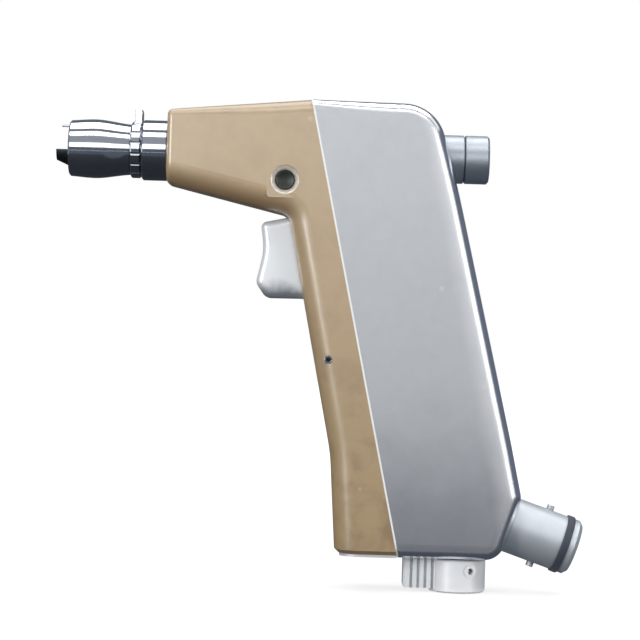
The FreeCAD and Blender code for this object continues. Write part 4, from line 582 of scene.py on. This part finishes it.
class Palette:
    """The materials, each built at its first use."""

    def __init__(self) -> None:
        """Starts with no material built."""
        self.built: dict[str, bpy.types.Material] = {}

    def of(self, finish: Finish) -> bpy.types.Material:
        """The material of a finish."""
        if finish.name not in self.built:
            self.built[finish.name] = finish.build()
        return self.built[finish.name]

    def dress(self, node: str, finish: Finish) -> None:
        """Gives a finish to a node of the frame."""
        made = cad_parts[node]
        for slot in made.material_slots:
            slot.material = self.of(finish)
        log.info("%s: %s", node, finish.name)

    def dress_all(self, finishes: dict[Finish, Iterable[str]]) -> None:
        """Gives each finish to its nodes."""
        for finish, nodes in finishes.items():
            for node in nodes:
                self.dress(node, finish)


@dataclass(frozen=True)
class Turning:
    """A ring turned about a line.

    Args:
        name: the piece's name.
        origin: where on the line its stations start.
        way: direction of the line.
        section: its closed section, as points (station, radius).
        steps: how many faces go round.
    """

    name: str
    origin: Point
    way: Point
    section: Sequence[tuple[float, float]]
    steps: int = 144

    def build(self) -> bpy.types.Object:
        """Makes the ring, smooth all round."""
        way = Vector(self.way).normalized()
        side = way.orthogonal().normalized()
        turns = [math.tau * k / self.steps for k in range(self.steps)]
        shape = bmesh.new()
        rows = []
        for turn in turns:
            out = side * math.cos(turn) + way.cross(side) * math.sin(turn)
            rows.append([shape.verts.new(Vector(self.origin) + way * along + out * radius)
                         for along, radius in self.section])
        for here, there in zip(rows, rows[1:] + rows[:1]):
            for j, corner in enumerate(here):
                shape.faces.new((here[j - 1], corner, there[j], there[j - 1]))
        bmesh.ops.recalc_face_normals(shape, faces=shape.faces)
        mesh = bpy.data.meshes.new(self.name)
        shape.to_mesh(mesh)
        shape.free()
        mesh.shade_smooth()
        made = bpy.data.objects.new(self.name, mesh)
        bpy.context.scene.collection.objects.link(made)
        return made


@dataclass
class Assembly:
    """A sub-assembly of the drill, which dresses its nodes with the shared materials."""

    palette: Palette

    def build(self) -> None:
        """Builds and dresses the pieces."""
        raise NotImplementedError

    def fit(self, piece: bpy.types.Object, finish: Finish, slot: str, body: str = "body") -> bpy.types.Object:
        """Finishes a new piece and lets it move with a body.

        Args:
            piece: the new piece.
            finish: what it is made of.
            slot: the record's material slot for it; not used.
            body: the body that carries it.

        Returns:
            The piece.
        """
        piece.data.materials.append(self.palette.of(finish))
        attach(piece, body)
        log.info("%s: %s on %s", piece.name, finish.name, body)
        return piece

    def axis_point(self, node: str) -> Vector:
        """The middle of a node's box, which lies on the axis of a round one."""
        low, high = (Vector(corner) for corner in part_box(node))
        return (low + high) / 2


@dataclass
class Castings(Assembly):
    """The two housings, the sheet between them and the plate and screws that close the grip.

    Args:
        screw_face: from the middle plane to a grip screw's head.
        rim: inner and outer radius of the bright rim round its socket.
        rim_height: how far the rim stands up.
    """

    screw_face: float = 17.3 * MM
    rim: tuple[float, float] = (1.18 * MM, 1.46 * MM)
    rim_height: float = 0.07 * MM

    def build(self) -> None:
        """Dresses the castings and rims the screws' sockets."""
        self.palette.dress_all({
            TAN: ["front_housing"],
            SILVER: ["rear_housing"],
            GASKET: ["housing_gasket"],
            FOOT_STEEL: ["base_plate"],
            DARK: ["grip_screws", "base_plate_screws"],
        })
        for name, side in (("left", -1.0), ("right", 1.0)):
            self.socket_rim(name, side)

    def socket_rim(self, name: str, side: float) -> None:
        """The rubbed rim round a grip screw's socket.

        Args:
            name: which side it is on.
            side: -1 on the camera's side, 1 on the other.
        """
        middle = self.axis_point("grip_screws")
        inner, outer = self.rim
        bevel = (outer - inner) * 0.3
        low = 0.004 * MM
        section = [(low, inner), (self.rim_height, inner + bevel), (self.rim_height, outer - bevel), (low, outer)]
        face = (middle.x, side * self.screw_face, middle.z)
        ring = Turning(f"grip_socket_rim_{name}", face, (0.0, side, 0.0), section)
        self.fit(ring.build(), POLISHED, "polished_steel")


@dataclass
class Nose(Assembly):
    """The coupling that takes the tools: sleeve, blade, release collar and what turns inside it."""

    def build(self) -> None:
        """Dresses the coupling."""
        self.palette.dress_all({
            CHROME: ["nose_sleeve", "release_collar", "chuck_sleeve"],
            POLISHED: ["locking_balls", "spindle_bearings"],
            SATIN: ["spindle", "spindle_races", "locking_ring", "locking_spring", "locating_blade"],
            DARK: ["drive_dog"],
            RUBBER: ["spindle_seal"],
        })


@dataclass
class Drive(Assembly):
    """The air motor and the two planetary stages that turn the spindle."""

    def build(self) -> None:
        """Dresses the motor and its gears."""
        planets = [f"{stage}_planet_{k}" for stage in ("output", "input") for k in (1, 2, 3)]
        self.palette.dress_all({
            SATIN: ["gear_case", "gear_case_cover", "ring_gear", "output_carrier", "input_carrier", *planets,
                    "rotor_shaft", "rotor", "rotor_races", "motor_cylinder"],
            BRONZE: ["motor_front_plate", "motor_rear_plate"],
            POLISHED: ["output_planet_pins", "input_planet_pins", "motor_bearings"],
            RESIN: ["rotor_vanes"],
        })


@dataclass
class Cannula(Assembly):
    """The tube for guide wires through the drive, with its rear boss and cap."""

    def build(self) -> None:
        """Dresses the cannula."""
        self.palette.dress_all({
            KNOB_STEEL: ["cannula_boss", "cannula_cap"],
            POLISHED: ["cannula_tube"],
            RUBBER: ["cap_seal"],
        })


@dataclass
class Controls(Assembly):
    """Trigger, valve, safety button and the lever under the base.

    Args:
        pad_face: from the middle plane to the pad round the button.
        sink: radius of the countersink at the pad.
        burnished: depths between which the countersink is lined.
        lining: how far the lining's two faces stand off the casting.
    """

    pad_face: float = 17.9 * MM
    sink: float = 5.8 * MM
    burnished: tuple[float, float] = (0.12 * MM, 1.72 * MM)
    lining: tuple[float, float] = (0.012 * MM, 0.055 * MM)

    def build(self) -> None:
        """Dresses the controls and lines the button's countersinks."""
        self.palette.dress_all({
            PALE: ["trigger"],
            SATIN: ["valve_stem", "trigger_spring", "selector_shaft"],
            BRONZE: ["valve_body"],
            BLACK: ["safety_button"],
            LEVER_PLATE: ["base_lever"],
            LEVER_SCREW: ["lever_screw"],
            POLISHED: ["button_detent"],
        })
        for name, side in (("left", -1.0), ("right", 1.0)):
            self.countersink(name, side)

    def countersink(self, name: str, side: float) -> None:
        """The bright turned lining of the countersink round the safety button.

        Args:
            name: which side it is on.
            side: -1 on the camera's side, 1 on the other.
        """
        middle = self.axis_point("safety_button")
        top, bottom = self.burnished
        low, high = self.lining
        soft = 0.08 * MM
        section = [(depth - off, self.sink - depth - off)
                   for depth, off in ((top, low), (bottom, low), (bottom - soft, high), (top + soft, high))]
        face = (middle.x, side * self.pad_face, middle.z)
        ring = Turning(f"button_countersink_{name}", face, (0.0, -side, 0.0), section)
        self.fit(ring.build(), COUNTERSINK, "tan_casting")


@dataclass
class HosePort(Assembly):
    """Where the hose goes on, with the air's way in and out behind it.

    Args:
        groove: radius of the circle at the middle of the seal's groove.
        root: radius of the seal's rounded root in the groove.
        barrel: radius of the port that its lips lie on.
        lip: half the width over its lips.
        crown: radius of its outer face.
    """

    groove: float = 10.6 * MM
    root: float = 1.24 * MM
    barrel: float = 11.24 * MM
    lip: float = 1.5 * MM
    crown: float = 11.88 * MM

    def build(self) -> None:
        """Dresses the port and fits its lipped seal."""
        self.palette.dress_all({
            SPIGOT_STEEL: ["hose_spigot", "bayonet_pins"],
            RUBBER: ["spigot_oring"],
            SATIN: ["inlet_tube"],
            BRONZE: ["exhaust_silencer"],
        })
        middle = self.axis_point("spigot_oring")
        ring = Turning("hose_seal", tuple(middle), SPIGOT_WAY, self.seal_section()).build()
        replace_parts(self.fit(ring, RUBBER, "seal_rubber"), "spigot_oring")

    def seal_section(self) -> list[tuple[float, float]]:
        """The seal's section: a crowned outer face with a lip each side, on a round root in the groove."""
        height = self.crown - self.barrel
        face = [(-self.lip, self.barrel), (-self.lip, self.barrel + height * 0.45),
                (-self.lip * 0.93, self.crown - height * 0.18), (-self.lip * 0.75, self.crown - height * 0.03)]
        mirrored = [(-along, radius) for along, radius in reversed(face)]
        first, step, count = 28.0, 23.6, 10
        turns = [math.radians(first - step * k) for k in range(count)]
        root = [(math.cos(turn) * self.root, self.groove + math.sin(turn) * self.root) for turn in turns]
        return face + mirrored + [point for point in root if point[1] < self.barrel - 0.02 * MM]


@dataclass
class Studio:
    """Floor, lamps, glowing cards that only mirrors see, as painted reflections, and camera.

    Args:
        floor_height: height of the floor under the drill.
        middle: point that the camera faces.
        distance: from the camera to the drill's middle plane.
        roll: turn of the camera about its view.
        lens: focal length for a sensor 36 mm wide.
        floor_lift: how much the floor is lightened on straight views.
    """

    floor_height: float = -0.1735
    middle: tuple[float, float] = (0.10239, -0.06616)
    distance: float = 0.90
    roll: float = math.radians(1.72)
    lens: float = 125.8
    floor_lift: float = 0.72

    def build(self) -> None:
        """Builds the studio."""
        self.floor()
        self.world()
        self.lamps()
        self.cards()
        self.camera()

    def floor(self) -> None:
        """A wide pale floor that keeps the drill's soft shadow."""
        mesh = bpy.data.meshes.new("floor")
        shape = bmesh.new()
        bmesh.ops.create_grid(shape, x_segments=1, y_segments=1, size=3.0)
        bmesh.ops.translate(shape, verts=shape.verts, vec=(0.1, 0.0, self.floor_height))
        shape.to_mesh(mesh)
        shape.free()
        floor = bpy.data.objects.new("floor", mesh)
        bpy.context.scene.collection.objects.link(floor)
        mesh.materials.append(self.floor_finish())

    def floor_finish(self) -> bpy.types.Material:
        """Pale grey paper: a white base lifted a little on straight views, with its shade kept."""
        s = Surface("Floor_paper")
        g = s.graph
        fibre = GRAIN.place(g, place=s.place, size=1.2 * MM)["Height"]
        paper = g.blend(g.math("MULTIPLY", fibre, 0.03), (0.42, 0.42, 0.42, 1.0), (0.36, 0.36, 0.36, 1.0))
        path = g.node("ShaderNodeLightPath").outputs
        mirror = g.math("MAXIMUM", path["Is Glossy Ray"], path["Is Transmission Ray"])
        away = g.vector("DISTANCE", s.place, (0.15, 0.0, self.floor_height)).outputs["Value"]
        straight = g.span(away, 0.25, 0.9, self.floor_lift, 1.0, smooth=True)
        lift = g.math("MULTIPLY_ADD", path["Is Camera Ray"], straight, g.math("MULTIPLY", mirror, 0.6))
        s.set(base_color=paper, roughness=0.9, specular_ior_level=0.0, emission_color=(1.0, 1.0, 1.0, 1.0),
              emission_strength=lift)
        return s.material

    def world(self) -> None:
        """White on straight views and in mirrors, soft grey as a light."""
        world = bpy.data.worlds.new("Studio")
        bpy.context.scene.world = world
        world.use_nodes = True
        tree = world.node_tree
        tree.nodes.clear()
        g = Graph(tree)
        path = g.node("ShaderNodeLightPath").outputs
        mirror = g.math("MAXIMUM", path["Is Glossy Ray"], path["Is Transmission Ray"])
        seen = g.math("MAXIMUM", path["Is Camera Ray"], mirror)
        strength = g.span(seen, 0.0, 1.0, 0.30, 1.0)
        sky = g.node("ShaderNodeBackground", {"Color": (1.0, 1.0, 1.0, 1.0), "Strength": strength})
        g.node("ShaderNodeOutputWorld", {"Surface": sky.outputs[0]})

    def softbox(self, name: str, way: tuple[float, float], reach: float, size: tuple[float, float],
                power: float) -> None:
        """A rectangular lamp aimed at the drill.

        Args:
            name: the lamp's name.
            way: degrees to the right of the camera's side, and up over the top.
            reach: distance from the drill.
            size: its width and height.
            power: in watts.
        """
        lamp = bpy.data.lights.new(name, "AREA")
        lamp.shape = "RECTANGLE"
        lamp.size, lamp.size_y = size
        lamp.energy = power
        made = bpy.data.objects.new(name, lamp)
        side, rise = (math.radians(angle) for angle in way)
        centre = Vector((0.1, 0.0, -0.05))
        level = Vector((math.sin(side), -math.cos(side), 0.0))
        made.location = centre + (level * math.cos(rise) + Vector((0.0, 0.0, math.sin(rise)))) * reach
        made.rotation_euler = (centre - made.location).to_track_quat("-Z", "Y").to_euler()
        bpy.context.scene.collection.objects.link(made)

    def lamps(self) -> None:
        """Soft lamps overhead and above the camera, and an upright one at each side."""
        self.softbox("overhead_softbox", (0.0, 105.0), 1.1, (1.6, 0.85), 7.5)
        self.softbox("front_top_softbox", (0.0, 59.0), 1.2, (1.6, 0.35), 4.0)
        self.softbox("camera_side_fill", (0.0, 12.0), 1.3, (1.8, 0.40), 2.2)
        self.softbox("left_strip", (-42.0, 2.0), 1.1, (0.24, 1.0), 9.0)
        self.softbox("right_strip", (52.0, 2.0), 1.1, (0.20, 1.0), 5.0)

    def arc(self, start: float, end: float, reach: float) -> list[tuple[float, float]]:
        """Points (y, z) on an arc round the spindle, by degrees from the camera's side up over the top."""
        steps = 8
        turns = [math.radians(start + (end - start) * k / steps) for k in range(steps + 1)]
        return [(-math.cos(turn) * reach, math.sin(turn) * reach) for turn in turns]

    def card(self, name: str, profile: Sequence[tuple[float, float]], tint: Colour,
             span: tuple[float, float] = (-1.2, 1.4)) -> None:
        """A long glowing card along the spindle that only mirrors see: a painted reflection.

        Args:
            name: the card's name.
            profile: its section as points (y, z).
            tint: its brightness.
            span: where it starts and ends along the spindle.
        """
        shape = bmesh.new()
        rows = [[shape.verts.new((x, y, z)) for x in span] for y, z in profile]
        self.finish_card(name, shape, rows, tint)

    def side_card(self, name: str, turns: tuple[float, float], tint: Colour) -> None:
        """An upright curved glowing card beside the drill that only mirrors see: a painted reflection.

        Args:
            name: the card's name.
            turns: degrees to the right of the camera's side, where it starts and ends.
            tint: its brightness.
        """
        steps = 8
        angles = [math.radians(turns[0] + (turns[1] - turns[0]) * k / steps) for k in range(steps + 1)]
        shape = bmesh.new()
        rows = [[shape.verts.new((0.1 + math.sin(a) * 0.95, -math.cos(a) * 0.95, z))
                 for z in (self.floor_height + 0.01, 0.5)] for a in angles]
        self.finish_card(name, shape, rows, tint)

    def finish_card(self, name: str, shape: bmesh.types.BMesh, rows: list[list[bmesh.types.BMVert]],
                    tint: Colour) -> None:
        """Closes a card's rows into faces and hides it from everything but mirrors.

        Args:
            name: the card's name.
            shape: its mesh under way.
            rows: its corners, two to a row.
            tint: its brightness.
        """
        for low, high in zip(rows, rows[1:]):
            shape.faces.new((low[0], low[1], high[1], high[0]))
        mesh = bpy.data.meshes.new(name)
        shape.to_mesh(mesh)
        shape.free()
        card = bpy.data.objects.new(name, mesh)
        bpy.context.scene.collection.objects.link(card)
        mesh.materials.append(self.card_finish(name, tint))
        card.visible_camera = False
        card.visible_diffuse = False
        card.visible_shadow = False
        card.visible_transmission = False

    def card_finish(self, name: str, tint: Colour) -> bpy.types.Material:
        """Card that glows with one even brightness, seen only in mirrors: a painted reflection."""
        s = Surface(f"{name}_paper")
        s.set(base_color=(0.0, 0.0, 0.0, 1.0), roughness=1.0, emission_color=colour4(tint), emission_strength=1.0)
        return s.material

    def cards(self) -> None:
        """Painted reflections: grey above the camera and nearly black below it, as in a white room with a dark
        front.
        """
        low = self.floor_height + 0.002
        self.card("low_flag", [(1.2, low), (-0.35, low)], (0.008, 0.012, 0.018), (-1.2, 0.07))
        self.card("middle_flag", [(-0.35, low), (-0.80, low)], (0.030, 0.048, 0.075), (-1.2, 0.07))
        self.card("port_flag", [(1.2, low), (-0.80, low)], (0.055, 0.068, 0.09), (0.07, 1.4))
        self.side_card("left_flag", (-150.0, -72.0), (0.15, 0.17, 0.20))
        self.side_card("right_flag", (76.0, 150.0), (0.13, 0.15, 0.20))
        self.card("front_card", self.arc(-11.5, 2.0, 0.85), (0.085, 0.105, 0.13))
        self.card("upper_card", self.arc(20.0, 50.0, 0.85), (0.31, 0.33, 0.36))
        self.card("top_slit", self.arc(69.0, 81.0, 0.85), (0.14, 0.155, 0.18))
        self.card("rear_card", self.arc(122.0, 190.0, 0.85), (0.12, 0.135, 0.17))

    def camera(self) -> None:
        """The camera, square to the drill's side and turned a little about its view."""
        lens = bpy.data.cameras.new("camera")
        lens.sensor_width = 36.0
        lens.lens = self.lens
        lens.clip_start = 0.01
        made = bpy.data.objects.new("camera", lens)
        x, z = self.middle
        aim = Matrix.Rotation(-self.roll, 4, "Y") @ Matrix.Rotation(math.radians(90.0), 4, "X")
        made.matrix_world = Matrix.Translation((x, -self.distance, z)) @ aim
        bpy.context.scene.collection.objects.link(made)
        bpy.context.scene.camera = made


def main() -> None:
    """Builds the drill's sub-assemblies and the studio, in order."""
    logging.basicConfig(level=logging.INFO, format="%(name)s: %(message)s")
    bpy.context.scene.view_settings.view_transform = "Standard"
    palette = Palette()
    for assembly in (Castings, Nose, Drive, Cannula, Controls, HosePort):
        log.info("building %s", assembly.__name__)
        assembly(palette).build()
    Studio().build()


if __name__ == "__main__":
    main()
